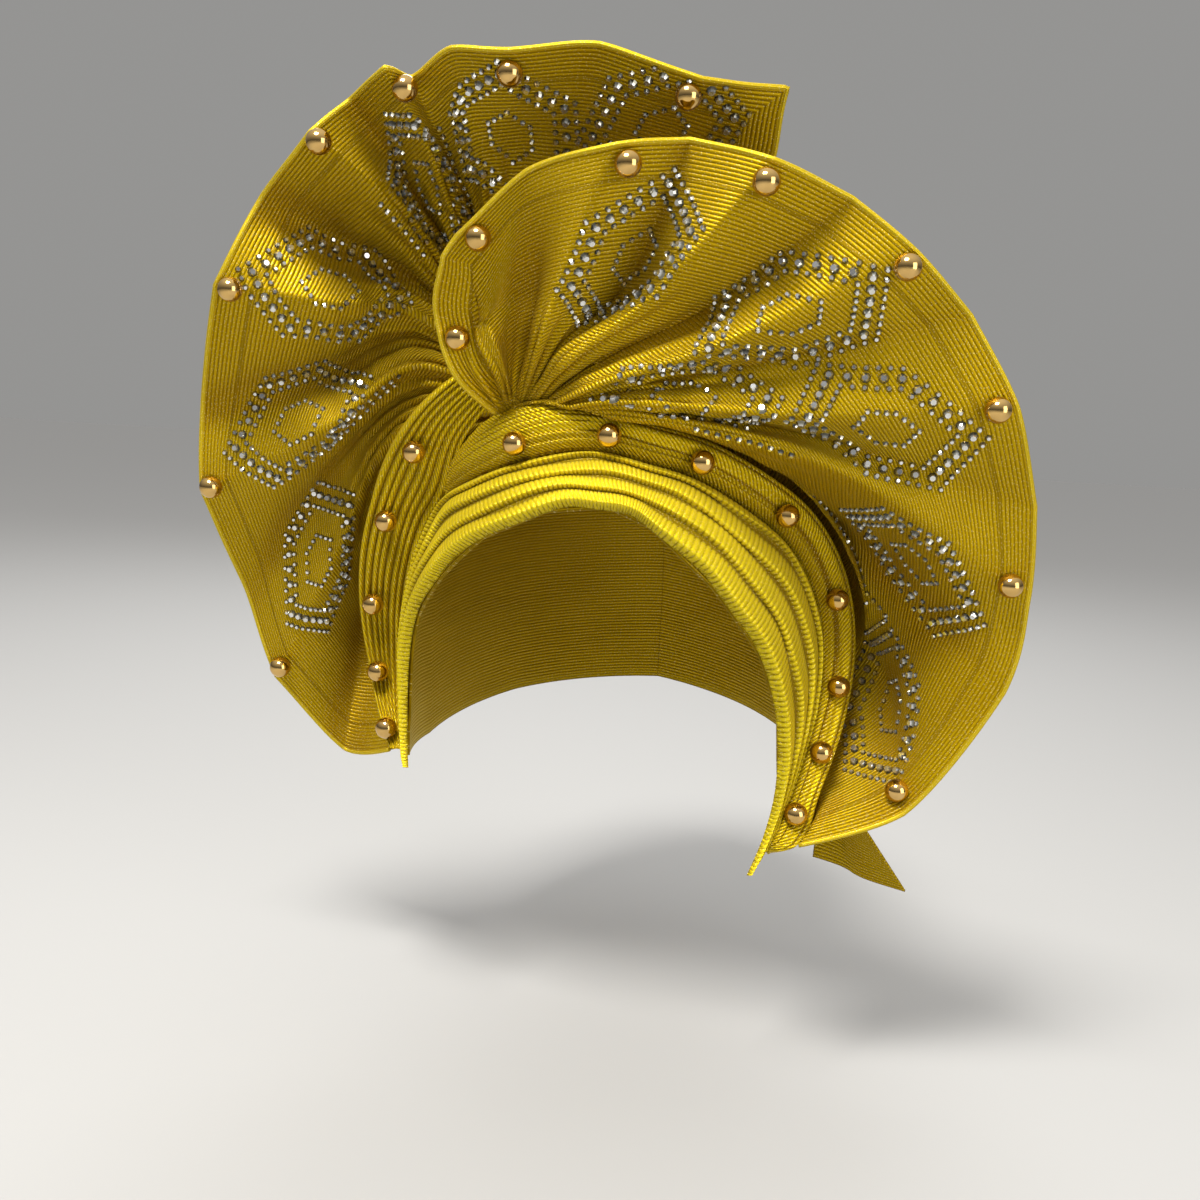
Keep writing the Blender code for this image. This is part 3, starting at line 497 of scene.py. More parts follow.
def grid_mesh(name, points, uv, fold):
    """Mesh of a flat grid moved onto points, with its places in the cloth as a UV map."""
    rows, columns = points.shape[:2]
    builder = bmesh.new()
    bmesh.ops.create_grid(builder, x_segments=rows - 1, y_segments=columns - 1, size=0.5)
    mesh = new_mesh(builder, name)
    flat = np.empty(len(mesh.vertices) * 3, dtype=np.float32)
    mesh.vertices.foreach_get("co", flat)
    flat = flat.reshape(-1, 3)
    row = np.rint((flat[:, 0] + 0.5) * (rows - 1)).astype(int)
    column = np.rint((flat[:, 1] + 0.5) * (columns - 1)).astype(int)
    mesh.vertices.foreach_set("co", points[row, column].astype(np.float32).ravel())
    corners = np.empty(len(mesh.loops), dtype=np.int32)
    mesh.loops.foreach_get("vertex_index", corners)
    places = np.stack((uv[0][row, column], uv[1][row, column]), axis=-1)[corners]
    layer = mesh.uv_layers.new(name="cloth")
    layer.data.foreach_set("uv", places.astype(np.float32).ravel())
    # The fold attribute is the mask by which the cloth material paints shade into folds and
    # recesses.
    depth = mesh.attributes.new("fold", 'FLOAT', 'POINT')
    depth.data.foreach_set("value", fold[row, column].astype(np.float32))
    mesh.update()
    return mesh


def weld_grid(mesh, near=None):
    """A wrapped grid: its seam is welded and its open ends are closed by one face each.

    With near, only the ends about as near to the origin as that are closed.
    """
    builder = bmesh.new()
    builder.from_mesh(mesh)
    bmesh.ops.remove_doubles(builder, verts=builder.verts[:], dist=0.000002)
    if near is None:
        bmesh.ops.dissolve_degenerate(builder, edges=builder.edges[:], dist=0.000001)
    edges = [edge for edge in builder.edges if edge.is_boundary
             and (near is None or (edge.verts[0].co + edge.verts[1].co).length < near)]
    bmesh.ops.holes_fill(builder, edges=edges, sides=0)
    bmesh.ops.recalc_face_normals(builder, faces=builder.faces[:])
    builder.to_mesh(mesh)
    builder.free()


def add_object(name, data):
    item = bpy.data.objects.new(name, data)
    bpy.context.scene.collection.objects.link(item)
    return item


def add_piece(name, mesh, material, nodes):
    """A finished piece that rides on the wrap and stands for its nodes."""
    mesh.shade_smooth()
    piece = add_object(name, mesh)
    mesh.materials.append(material)
    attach(piece, "root")
    if nodes:
        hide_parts(*nodes)
    return piece


def add_sheet(name, mesh, material, node):
    """A piece that is one layer of cloth and has its visible thickness."""
    piece = add_piece(name, mesh, material, (node,))
    wall = piece.modifiers.new("cloth wall", 'SOLIDIFY')
    wall.thickness = SHEET_WALL
    wall.offset = 0.0
    wall.use_even_offset = False
    return piece


def add_tube(name, ring, metres, fold, material, nodes):
    """A closed piece made of rings of points; fold covers their first, outer columns."""
    folds = np.full(ring.shape[:2], 0.6)
    folds[:, :fold.shape[1]] = fold
    mesh = grid_mesh(name, ring, metres, folds)
    weld_grid(mesh)
    return add_piece(name, mesh, material, nodes)


# Materials


def set_inputs(tree, inputs, values):
    """Inputs are linked to the sockets among the values and set to the others."""
    for key, value in values.items():
        if isinstance(value, bpy.types.NodeSocket):
            tree.links.new(value, inputs[key])
        else:
            inputs[key].default_value = value


def add_node(tree, kind, values=None, **settings):
    item = tree.nodes.new(kind)
    for key, value in settings.items():
        setattr(item, key, value)
    set_inputs(tree, item.inputs, values or {})
    return item


def calc(tree, operation, *inputs):
    """Math node; each input is a socket or a number."""
    return add_node(tree, 'ShaderNodeMath', dict(enumerate(inputs)), operation=operation).outputs[0]


def blend_colour(tree, share, first, second):
    """Mix of two colours; each is a socket or a colour."""
    ends = [(*end, 1.0) if isinstance(end, tuple) else end for end in (first, second)]
    return add_node(tree, 'ShaderNodeMix', {0: share, 6: ends[0], 7: ends[1]},
                    data_type='RGBA').outputs[2]


def flat_noise(tree, place, scale, detail):
    return add_node(tree, 'ShaderNodeTexNoise', {"Vector": place, "Scale": scale, "Detail": detail},
                    noise_dimensions='2D').outputs[0]


def new_material(name):
    """A material, its node tree and the inputs of its shader."""
    material = bpy.data.materials.new(name)
    material.use_nodes = True
    return material, material.node_tree, material.node_tree.nodes["Principled BSDF"].inputs


def new_group(name, inputs, outputs):
    group = bpy.data.node_groups.new(name, 'ShaderNodeTree')
    for label, kind, value in inputs:
        socket = group.interface.new_socket(name=label, in_out='INPUT', socket_type=kind)
        if value is not None:
            socket.default_value = value
    for label, kind in outputs:
        group.interface.new_socket(name=label, in_out='OUTPUT', socket_type=kind)
    return group, group.nodes.new('NodeGroupInput'), group.nodes.new('NodeGroupOutput')


def rib_group():
    """Ribs of the cloth: they follow the rim and, in the hem, each edge of the cloth."""
    group, given, result = new_group(
        "faille ribs",
        [("Cloth", 'NodeSocketVector', None), ("Pitch", 'NodeSocketFloat', RIB_PITCH),
         ("Hem Pitch", 'NodeSocketFloat', HEM_PITCH), ("Hem Width", 'NodeSocketFloat', HEM_WIDTH)],
        [("Height", 'NodeSocketFloat'), ("Groove", 'NodeSocketFloat'),
         ("Glitter Glint", 'NodeSocketFloat'), ("Patch", 'NodeSocketFloat')])
    cloth = given.outputs["Cloth"]
    split = add_node(group, 'ShaderNodeSeparateXYZ', {0: cloth})
    across, along = split.outputs[0], split.outputs[1]
    waver = calc(group, 'SUBTRACT', flat_noise(group, cloth, 60.0, 2.0), 0.5)
    edge = calc(group, 'MINIMUM', across, along)
    body_phase = calc(group, 'ADD', calc(group, 'DIVIDE', along, given.outputs["Pitch"]),
                      calc(group, 'MULTIPLY', waver, 0.35))
    hem_phase = calc(group, 'DIVIDE', edge, given.outputs["Hem Pitch"])
    kinds = {0: calc(group, 'LESS_THAN', edge, given.outputs["Hem Width"])}
    for index, phase in ((2, body_phase), (3, hem_phase)):
        wave = calc(group, 'SINE', calc(group, 'MULTIPLY', phase, math.pi))
        kinds[index] = calc(group, 'ABSOLUTE', wave)
    rib = add_node(group, 'ShaderNodeMix', kinds, data_type='FLOAT').outputs[0]
    from_seam = calc(group, 'ABSOLUTE', calc(group, 'SUBTRACT', edge, given.outputs["Hem Width"]))
    seam = calc(group, 'LESS_THAN', from_seam, 0.0004)
    yarn = flat_noise(group, cloth, 2600.0, 3.0)
    height = calc(group, 'SUBTRACT', calc(group, 'MULTIPLY_ADD', yarn, 0.35, rib),
                  calc(group, 'MULTIPLY', seam, 0.6))
    # Groove: the hollows between the ribs, which the cloth darkens with painted shade and makes
    # rougher.
    groove = calc(group, 'POWER', calc(group, 'SUBTRACT', 1.0, rib), 1.6)
    # Flecks of glitter thread, which the cloth paints pale: painted glints.
    glint = add_node(group, 'ShaderNodeTexVoronoi', {"Vector": cloth, "Scale": 900.0},
                     voronoi_dimensions='2D')
    set_inputs(group, result.inputs, {
        "Height": height,
        "Groove": calc(group, 'MAXIMUM', groove, calc(group, 'MULTIPLY', seam, 0.8)),
        "Glitter Glint": calc(group, 'LESS_THAN', glint.outputs["Distance"], 0.12),
        "Patch": flat_noise(group, cloth, 38.0, 4.0)})
    return group


def cloth_material(ribs, name, colours, rib_depth, hem_width, pitch, valley_shade_share):
    """Ribbed faille: silky on the ribs, dull in the grooves; painted shade darkens the grooves and
    paints the deep folds brown.
    """
    crest, groove_colour, valley_shade = colours
    material, tree, shader = new_material(name)
    place = add_node(tree, 'ShaderNodeUVMap', uv_map="cloth")
    rib = add_node(tree, 'ShaderNodeGroup', {"Pitch": pitch, "Hem Width": hem_width,
                                             "Cloth": place.outputs[0]}, node_tree=ribs).outputs
    fold = add_node(tree, 'ShaderNodeAttribute', attribute_name="fold")
    # Deep folds and crevices, read from the fold mask, take the valley colour: painted shade.
    deep = add_node(tree, 'ShaderNodeMapRange', {0: fold.outputs["Fac"], 1: 0.58, 2: 1.0},
                    interpolation_type='SMOOTHSTEP')
    # Grooves between the ribs take the groove colour: painted shade.
    colour = blend_colour(tree, rib["Groove"], crest, groove_colour)
    shade = calc(tree, 'MULTIPLY', deep.outputs[0], valley_shade_share)
    colour = blend_colour(tree, shade, colour, valley_shade)
    uneven = calc(tree, 'MULTIPLY', rib["Patch"], 0.30)
    colour = blend_colour(tree, uneven, colour, groove_colour)
    # Glitter flecks painted pale: painted glints of the glitter thread.
    bright = calc(tree, 'MULTIPLY', rib["Glitter Glint"], 0.5)
    colour = blend_colour(tree, bright, colour, (0.95, 0.85, 0.42))
    rough = calc(tree, 'MULTIPLY_ADD', rib["Groove"], 0.25, 0.36)
    rough = calc(tree, 'MULTIPLY_ADD', rib["Patch"], 0.10, rough)
    bump = add_node(tree, 'ShaderNodeBump', {"Strength": 0.9, "Distance": rib_depth,
                                             "Height": rib["Height"]})
    set_inputs(tree, shader, {
        "Base Color": colour, "Roughness": rough, "Metallic": 0.55, "Specular IOR Level": 0.25,
        "Specular Tint": (1.0, 0.90, 0.40, 1.0), "Sheen Weight": 0.05, "Sheen Roughness": 0.35,
        "Sheen Tint": (1.0, 0.82, 0.20, 1.0), "Normal": bump.outputs[0]})
    return material


def wear_group():
    """Faint handling marks and a fine plating grain for polished metal."""
    group, given, result = new_group(
        "plating wear", [("Place", 'NodeSocketVector', None), ("Scale", 'NodeSocketFloat', 300.0)],
        [("Marks", 'NodeSocketFloat'), ("Grain", 'NodeSocketFloat')])
    for label, detail, factor in (("Marks", 3.0, 1.0), ("Grain", 6.0, 6.0)):
        scale = calc(group, 'MULTIPLY', given.outputs["Scale"], factor)
        noise = add_node(group, 'ShaderNodeTexNoise', {"Detail": detail, "Scale": scale,
                                                       "Vector": given.outputs["Place"]})
        group.links.new(noise.outputs[0], result.inputs[label])
    return group


def wear_marks(tree, wear, values):
    """Outputs of the wear group, placed on the object."""
    place = add_node(tree, 'ShaderNodeTexCoord').outputs["Object"]
    return add_node(tree, 'ShaderNodeGroup', {"Place": place, **values}, node_tree=wear).outputs


def gold_material(wear):
    material, tree, shader = new_material("polished gold plate")
    marks = wear_marks(tree, wear, {})
    bump = add_node(tree, 'ShaderNodeBump', {"Strength": 0.25, "Distance": 0.00003,
                                             "Height": marks["Grain"]})
    set_inputs(tree, shader, {
        "Base Color": blend_colour(tree, marks["Marks"], (0.76, 0.50, 0.19), (0.56, 0.36, 0.11)),
        "Roughness": calc(tree, 'MULTIPLY_ADD', marks["Marks"], 0.12, 0.07),
        "Metallic": 1.0, "Normal": bump.outputs[0]})
    return material


def stone_material(wear):
    """Clear glass stones on a foil back, with painted shade darkening each toward its girdle."""
    material, tree, shader = new_material("foiled glass stones")
    marks = wear_marks(tree, wear, {"Scale": 700.0})
    colour = blend_colour(tree, marks["Marks"], (0.93, 0.94, 0.95), (0.50, 0.49, 0.42))
    # Painted shade: each stone darkens toward its girdle, where it meets the cloth.
    rim = add_node(tree, 'ShaderNodeAttribute', attribute_name="rim").outputs["Fac"]
    dark = calc(tree, 'MINIMUM', calc(tree, 'MULTIPLY', rim, 1.5), 0.85)
    set_inputs(tree, shader, {
        "Base Color": blend_colour(tree, dark, colour, (0.085, 0.075, 0.022)),
        "Roughness": calc(tree, 'MULTIPLY_ADD', marks["Grain"], 0.10, 0.03),
        "Metallic": 0.85, "Coat Weight": 1.0, "Coat Roughness": 0.03})
    return material


def stage_material():
    material, tree, shader = new_material("pale floor")
    set_inputs(tree, shader, {"Base Color": (0.45, 0.445, 0.435, 1.0), "Roughness": 0.8})
    return material


# Fans


def gathers(places, v, size):
    """Small folds between the main ones, deepest beside the knot and gone before the rim."""
    spread = smooth_step(v, 0.02, 0.14) * (1.0 - smooth_step(v, 0.22, 0.72))
    phase = places[:, None] * GATHERS * math.pi + 0.7 * np.sin(places[:, None] * 2.3)
    wave = np.sin(phase) + 0.45 * np.sin(phase * 1.83 + 1.1)
    return size * spread[None, :] * wave


def dents(across, along, size):
    """Slight unevenness of stiff cloth that has been handled."""
    first = np.sin(across * 148.0 + 1.3 * np.sin(along * 95.0))
    second = np.sin(along * 172.0 + 1.7 * np.sin(across * 83.0) + 0.8)
    return size * (first * 0.6 + second * 0.4)


def column(places, v):
    """The curled column beside the front fan's hemmed end: a ridge and the groove next to it."""
    ridge = np.exp(-((places - 1.35) / 0.55) ** 2) - 0.9 * np.exp(-((places - 2.35) / 0.45) ** 2)
    spread = smooth_step(v, 0.05, 0.25) * (1.0 - smooth_step(v, 0.55, 0.98))
    return COLUMN_SIZE * ridge[:, None] * spread[None, :]


def trim_end(points, places, v):
    """The front fan's last corner drawn back from the rim, so that it ends on the roll."""
    cut = TRIM_SHARE * smooth_step(places, places[-1] - TRIM_FOLDS, places[-1])
    for row in np.flatnonzero(cut > 0.0):
        line = points[row].copy()
        for axis in range(3):
            points[row, :, axis] = np.interp(v * (1.0 - cut[row]), v, line[:, axis])
    return points


def fan_sheet(fan):
    """Points, normals and cloth distances of a fan, with its gathers and dents."""
    folds = len(fan["folds"])
    places = np.linspace(0.0, float(folds), folds * fan["per_fold"] + 1)
    v = np.linspace(0.0, 1.0, fan["steps"] + 1)
    points = fan_grid(fan, places, v)
    if fan["on_roll"]:
        points = trim_end(points, places, v)
    across, along = cloth_metres(points)
    ends = smooth_step(places, 0.0, 0.6) * (1.0 - smooth_step(places, folds - 1.0, folds - 0.3))
    lift = gathers(places, v, fan["gather_size"]) + dents(across, along, fan["dent_size"])
    if fan["on_roll"]:
        lift = lift + column(places, v)
    lift = lift * ends[:, None] * smooth_step(v, 0.0, 0.05)[None, :]
    points = points + grid_normals(points) * lift[..., None]
    if fan["on_roll"]:
        points = clear_of_roll(points, 3.4 * SEAT_GAP + CLOTH)
    points = clear_of_head(points, fan["seat_height"])
    return points, grid_normals(points), cloth_metres(points), places, v


def fan_edge(points):
    """Grid round a thin tube that follows a sheet's free side and its rim: the rolled hem."""
    path = np.concatenate((points[0, 6:-1], points[:-6, -1]))
    keep = np.concatenate(([True], lengths(np.diff(path, axis=0)) > 0.0003))
    path = path[keep]
    run = np.gradient(path, axis=0)
    run = run / lengths(run)[:, None]
    up = np.cross(run, np.array((0.0, -1.0, 0.35)))
    up = up / lengths(up)[:, None]
    out = np.cross(run, up)
    turn = np.linspace(0.0, 2.0 * math.pi, HEM_SIDES + 1)
    ring = (np.cos(turn)[None, :, None] * up[:, None, :]
            + np.sin(turn)[None, :, None] * out[:, None, :])
    far = run_lengths(path, 0)[:, None] + 0.0 * turn
    return path[:, None, :] + ring * HEM_RADIUS, (far, 0.0 * far + turn * HEM_RADIUS)


def build_fan(fan, sheet, material, edge_material):
    """A fan's sheet of cloth and its rolled hem."""
    name = fan["node"] + "_cloth"
    points, normals, metres = sheet[:3]
    # Depth in the folds is the mask for the painted shade in the fans' valleys.
    mesh = grid_mesh(name, points, metres, depth_in_folds(points, normals))
    piece = add_sheet(name, mesh, material, fan["node"])
    ring, uv = fan_edge(points)
    hem = add_tube(name + "_hem", ring, uv, np.full(ring.shape[:2], 0.3), edge_material, ())
    return piece, hem


# Stones


def cloth_place(sheet, place, share, across, along):
    """Grid place that lies some metres across and along the cloth from a given one."""
    from_side, from_rim = sheet[2]
    rows = np.arange(from_side.shape[0])
    columns = np.arange(from_side.shape[1])
    row = place / sheet[3][-1] * rows[-1]
    line = read_grid(from_rim, np.full(len(columns), row), columns)
    target = np.interp(share * columns[-1], columns, line) - along
    column = np.interp(-target, -line, columns)
    line = read_grid(from_side, rows, np.full(len(rows), column))
    target = np.interp(row, rows, line) + across
    return np.interp(target, line, rows), column


def read_grid(values, row, column):
    """Values of a grid between its points."""
    row = np.clip(row, 0.0, values.shape[0] - 1.001)
    column = np.clip(column, 0.0, values.shape[1] - 1.001)
    i = row.astype(int)
    j = column.astype(int)
    s = row - i
    t = column - j
    if values.ndim == 3:
        s = s[..., None]
        t = t[..., None]
    return ((values[i, j] * (1 - s) + values[i + 1, j] * s) * (1 - t)
            + (values[i, j + 1] * (1 - s) + values[i + 1, j + 1] * s) * t)


def hexagon_path(half_length, half_width, spacing):
    """Points at even steps round a hexagon whose long axis runs along the folds."""
    corners = [(0.0, half_length), (half_width, half_length * 0.42),
               (half_width, -half_length * 0.42), (0.0, -half_length),
               (-half_width, -half_length * 0.42), (-half_width, half_length * 0.42)]
    path = []
    for start, end in zip(corners, corners[1:] + corners[:1]):
        steps = max(1, round(math.dist(start, end) / spacing))
        for step in range(steps):
            share = step / steps
            path.append((start[0] + (end[0] - start[0]) * share,
                         start[1] + (end[1] - start[1]) * share))
    return path


def fan_stones(fan, sheet):
    """Seats of the stones on a fan: point, normal and radius of each that faces forward."""
    points, normals, metres, places, v = sheet
    spots = []
    for place, share in fan["hexagons"]:
        for half_length, half_width, (radius, spacing) in HEXAGONS:
            for across, along in hexagon_path(half_length, half_width, spacing):
                spots.append((*cloth_place(sheet, place, share, across, along), radius))
    radius, spacing = SMALL_STONE
    for place, start, end in fan["stone_rows"]:
        row = place / places[-1] * (len(places) - 1)
        line = read_grid(metres[1], np.full(len(v), row), np.arange(len(v)))
        first, last = np.interp((start, end), v, line)
        for step in range(int((first - last) / spacing) + 1):
            column = np.interp(spacing * step - first, -line, np.arange(len(v)))
            spots.append((row, column, radius))
    seats = []
    for row, column, radius in spots:
        if 1.0 < row < len(places) - 4.0 and 0.12 * len(v) < column < len(v) - 1.6:
            normal = read_grid(normals, row, column)
            if normal[1] < BACKWARD:
                seats.append((read_grid(points, row, column), normal, radius))
    return seats


def seat_matrix(seat, facing):
    """Placement of a bead or stone whose +Z faces away from its seat."""
    return Matrix.Translation(seat) @ facing.to_track_quat('Z', 'Y').to_matrix().to_4x4()


def build_stones(fan, seats, material):
    """All stones of a fan as one piece: each is a low cone with a flat table."""
    name = fan["node"] + "_stones"
    builder = bmesh.new()
    rim = builder.verts.layers.float.new("rim")
    for number, (point, normal, radius) in enumerate(seats):
        facing = Vector(normal).normalized()
        height = radius * STONE_HEIGHT
        seat = Vector(point) + facing * (SHEET_WALL / 2.0 + height * STONE_RAISED)
        place = seat_matrix(seat, facing) @ Matrix.Rotation(number * STONE_TURN, 4, 'Z')
        made = bmesh.ops.create_cone(builder, cap_ends=True, cap_tris=False,
                                     segments=8 if radius > SMALL_STONE[0] else 6,
                                     radius1=radius, radius2=radius * STONE_TABLE, depth=height,
                                     matrix=place)
        # The lower verts carry the mask for the painted shade round the girdle.
        for vert in made["verts"]:
            vert[rim] = 1.0 if (vert.co - seat).dot(facing) < 0.0 else 0.0
    piece = add_piece(name, new_mesh(builder, name), material, ())
    piece.data.shade_flat()
    return piece


# Bands, roll, bundle, cap and tail


def strip_grid(lower, upper, across, rise):
    """Rings of points: a profile on top of the head form and the form's own curve beneath."""
    base = CAP_WALL + SEAT_GAP
    edge = lower[:, None, :]
    width = (upper - lower)[:, None, :]
    under = np.linspace(1.0, 0.0, 5)[None, :, None]
    ring = np.concatenate((on_head(edge + width * across[..., None], base + rise),
                           on_head(edge + width * under, base)), axis=1)
    return np.concatenate((ring, ring[:, :1]), axis=1)


def tube_metres(ring):
    """Distances along a tube and round it."""
    far = run_lengths(ring[:, ring.shape[1] // 3], 0)
    return far[:, None] + np.zeros(ring.shape[1]), run_lengths(ring, 1)


def slanted_metres(ring, slant):
    """Distances on a tube whose ribs wind round it at a slant."""
    far, around = tube_metres(ring)
    return around, far * slant + around * 0.8


def build_band(material):
    """Four overlapping pleats with the ribs of the cloth lying across them."""
    share = np.linspace(0.0, 1.0, BAND_RIBS * 7 + 1)
    from_end = np.minimum(share, 1.0 - share)
    rows = table_share(BAND_ROWS, share)
    widen = 1.0 + 2.6 * smooth_step(share, 0.94, 1.0) + 0.6 * smooth_step(share, 0.06, 0.0)
    rows[:, 2:] = rows[:, :2] + (rows[:, 2:] - rows[:, :2]) * widen[:, None]
    ease = np.minimum(1.0, 0.45 + 4.0 * from_end)
    t = np.concatenate((np.linspace(0.0, 0.14, 4), np.linspace(0.26, 1.0, 6)))
    wavy = 0.020 * np.minimum(1.0, 8.0 * from_end)
    phase = share * BAND_RIBS
    across = []
    rise = []
    painted_crevice_shade = []
    start = 0.0
    for number, width in enumerate(BAND_PLEATS):
        edge = np.sin(np.clip(t / 0.14, 0.0, 1.0) * math.pi / 2.0)
        slope = 1.0 - 0.42 * np.clip((t - 0.14) / 0.86, 0.0, 1.0) ** 1.5
        low = 0.48 if number else 0.0
        shape = np.where(t < 0.14, low + (1.0 - low) * edge, slope)
        lean = 0.9 if number < 3 else 0.4
        turn = phase[:, None] + lean * t[None, :] ** 1.4 + 0.37 * number
        rib = np.abs(np.sin(turn * math.pi)) ** 0.75
        swell = 0.00034 * (rib - 0.5) * np.clip(shape, 0.0, 1.0)
        sway = wavy * (np.sin(share * 29.0 + 2.1 * number) + 0.7 * np.sin(share * 61.0 + number))
        held = np.minimum(t * 1.4, 1.0) if number == 0 else 1.0 - t * (number == 3)
        fold_in = 0.5 * math.pi * np.clip(t / 0.2, 0.0, 1.0)
        under = 0.020 * np.cos(fold_in) * (1.0 if number else 0.2)
        under = under + sway[:, None] * held
        across.append(start + width * t + under - 0.012 * (rib - 0.5) * np.cos(fold_in))
        rise.append(BAND_RISE * ease[:, None] * shape + swell)
        # Painted shade: dark in the crevices where the pleats tuck under each other, and between
        # the ribs.
        depth = np.maximum(smooth_step(t, 0.80, 0.97), 1.0 - smooth_step(t, 0.0, 0.07))
        painted_crevice_shade.append(0.56 + 0.5 * depth[None, :] + 0.34 * (1.0 - rib) ** 1.5)
        start += width
    ring = strip_grid(rows[:, :2], rows[:, 2:], np.concatenate(across, axis=1),
                      np.concatenate(rise, axis=1))
    fold = np.clip(np.concatenate(painted_crevice_shade, axis=1), 0.0, 1.0)
    add_tube("forehead_band_cloth", ring, tube_metres(ring), fold, material, ("forehead_band",))


def build_roll(material):
    """Rolled edge of stacked narrow pleats that part into broad ridges."""
    share = np.linspace(0.0, 1.0, 361)
    lower, upper, rise, _ = roll_line(share)
    widen = 1.0 + 1.9 * smooth_step(share, 0.84, 1.0)
    upper = lower + (upper - lower) * widen[:, None]
    rise = rise * (1.0 + 0.35 * smooth_step(share, 0.88, 0.96))
    rise = rise * np.sqrt(np.maximum(1.0 - smooth_step(share, 0.96, 1.0), 0.05))
    c = np.linspace(0.0, 1.0, 60)
    profile = table_at(ROLL_PROFILE, np.interp(c, [row[0] for row in ROLL_PROFILE],
                                               np.arange(len(ROLL_PROFILE))))[:, 1]
    narrow = np.abs(np.sin(math.pi * (c[None, :] * 9.0 + 0.3 * share[:, None])))
    broad = np.abs(np.sin(math.pi * (c[None, :] * 4.0 + 0.6 * share[:, None])))
    part = smooth_step(share, 0.12, 0.34)[:, None]
    ridge = 0.085 * (narrow ** 0.7 - 0.6) * (1.0 - part) + 0.075 * (broad ** 0.8 - 0.6) * part
    inside = smooth_step(c, 0.0, 0.08) * (1.0 - smooth_step(c, 0.9, 1.0))
    tucked = (1.0 - smooth_step(share, 0.12, 0.26))[:, None] * smooth_step(c, 0.35, 0.60)
    height = profile + (1.12 - profile) * tucked + ridge * inside
    ring = strip_grid(lower, upper, c[None, :] + 0.0 * share[:, None], height * rise[:, None])
    # Painted shade between the ridges and along the roll's lower edge, through the fold mask.
    groove = np.where(part > 0.5, 1.0 - broad, 1.0 - narrow)
    fold = np.clip(0.25 + 0.9 * groove ** 1.5, 0.0, 1.0)
    fold[:, :14] = np.maximum(fold[:, :14], 0.75)
    add_tube("front_roll_cloth", ring, slanted_metres(ring, 0.75), fold, material,
             ("front_roll",))


def bundle_points(share, back, up):
    """Points in the bundle's section: back from its front foot and up off the cap, as shares."""
    row = table_share(BUNDLE_ROWS, share)
    sweep = np.degrees(row[..., 4] * BUNDLE_WIDTH / HEAD_HALF_WIDTH)
    sweep = sweep / np.maximum(girth(row[..., 1]), 0.45)
    height = CAP_WALL + SEAT_GAP + (row[..., 2] + row[..., 3] * up) * BUNDLE_RISE
    return head_points(row[..., 0] - sweep * back, row[..., 1], height)


def build_bundle(material):
    """Knife pleats stacked off the cap, their folds facing forward."""
    per_pleat = 7
    share = np.linspace(0.0, 1.0, 301)[:, None]
    level = (np.arange(BUNDLE_PLEATS * per_pleat) / per_pleat)[None, :]
    level = level + 0.10 * np.sin(share * 9.0 + 2.0 * np.floor(level))
    level = np.clip(level, 0.0, BUNDLE_PLEATS)
    within = (np.arange(BUNDLE_PLEATS * per_pleat) % per_pleat)[None, :] / per_pleat
    bulge = np.sin(math.pi * within) ** 0.55 + 0.0 * share
    up = level / BUNDLE_PLEATS
    back = BUNDLE_LEAN * up + BUNDLE_NOTCH * (1.0 - bulge)
    rear = np.array(BUNDLE_BACK)
    back = np.concatenate((back, rear[None, :, 0] + 0.0 * share), axis=1)
    up = np.concatenate((up, rear[None, :, 1] + 0.0 * share), axis=1)
    ring = bundle_points(share + 0.0 * up, back, up)
    ring = np.concatenate((ring, ring[:, :1]), axis=1)
    # The fold mask paints shade where the pleats tuck in between their bulges.
    add_tube("left_pleats_cloth", ring, slanted_metres(ring, 0.60),
             np.clip(1.0 - 0.85 * bulge, 0.0, 1.0), material, ("left_pleats",))


def build_cap(material):
    """Cap of wrapped cloth with low pleats that run from the knot round to the nape."""
    table = np.array(CAP_EDGE_ROWS, dtype=float)
    angle = np.linspace(-180.0, 180.0, 241)
    share = np.linspace(0.02, 1.0, 61)
    drop = np.interp(angle, table[:, 0], table[:, 1])[:, None] * share[None, :] ** 1.7
    turn = np.radians(angle)[:, None] + 0.0 * share
    sweep = 7.0 * np.sin(turn + 0.5) + 22.0 * drop
    pleat = np.abs(np.sin(sweep * 0.5)) ** 0.8
    fade = smooth_step(share, 0.05, 0.25) * (1.0 - 0.6 * smooth_step(share, 0.85, 1.0))
    points = head_points(turn * 180.0 / math.pi, drop, 0.0008 + 0.0006 * pleat * fade)
    # The fold mask paints faint shade between the low pleats.
    mesh = grid_mesh("crown_cap_cloth", points, cloth_metres(points),
                     np.clip(0.62 - 0.45 * pleat, 0.0, 1.0))
    weld_grid(mesh, near=0.03)
    return add_sheet("crown_cap_cloth", mesh, material, "crown_cap")


def build_nape_band(material):
    """Band of four low pleats round the nape."""
    share = np.linspace(0.0, 1.0, 241)
    rows = table_share(NAPE_ROWS, share)
    c = np.linspace(0.0, 1.0, 46)[None, :] + 0.0 * share[:, None]
    within = (c * 4.0) % 1.0
    crest = np.minimum(1.0, within / 0.12)
    shape = 0.55 + 0.45 * crest * (1.0 - 0.65 * within ** 2)
    edges = smooth_step(c, 0.0, 0.03) * (1.0 - 0.5 * smooth_step(c, 0.97, 1.0))
    ring = strip_grid(rows, rows - np.array((0.0, NAPE_WIDTH / HEAD_DROP)), c,
                      NAPE_RISE * shape * edges)
    # The fold mask paints shade at the foot of each pleat.
    add_tube("nape_band_cloth", ring, tube_metres(ring), np.clip(0.9 - 0.6 * crest, 0.0, 1.0),
             material, ("nape_band",))


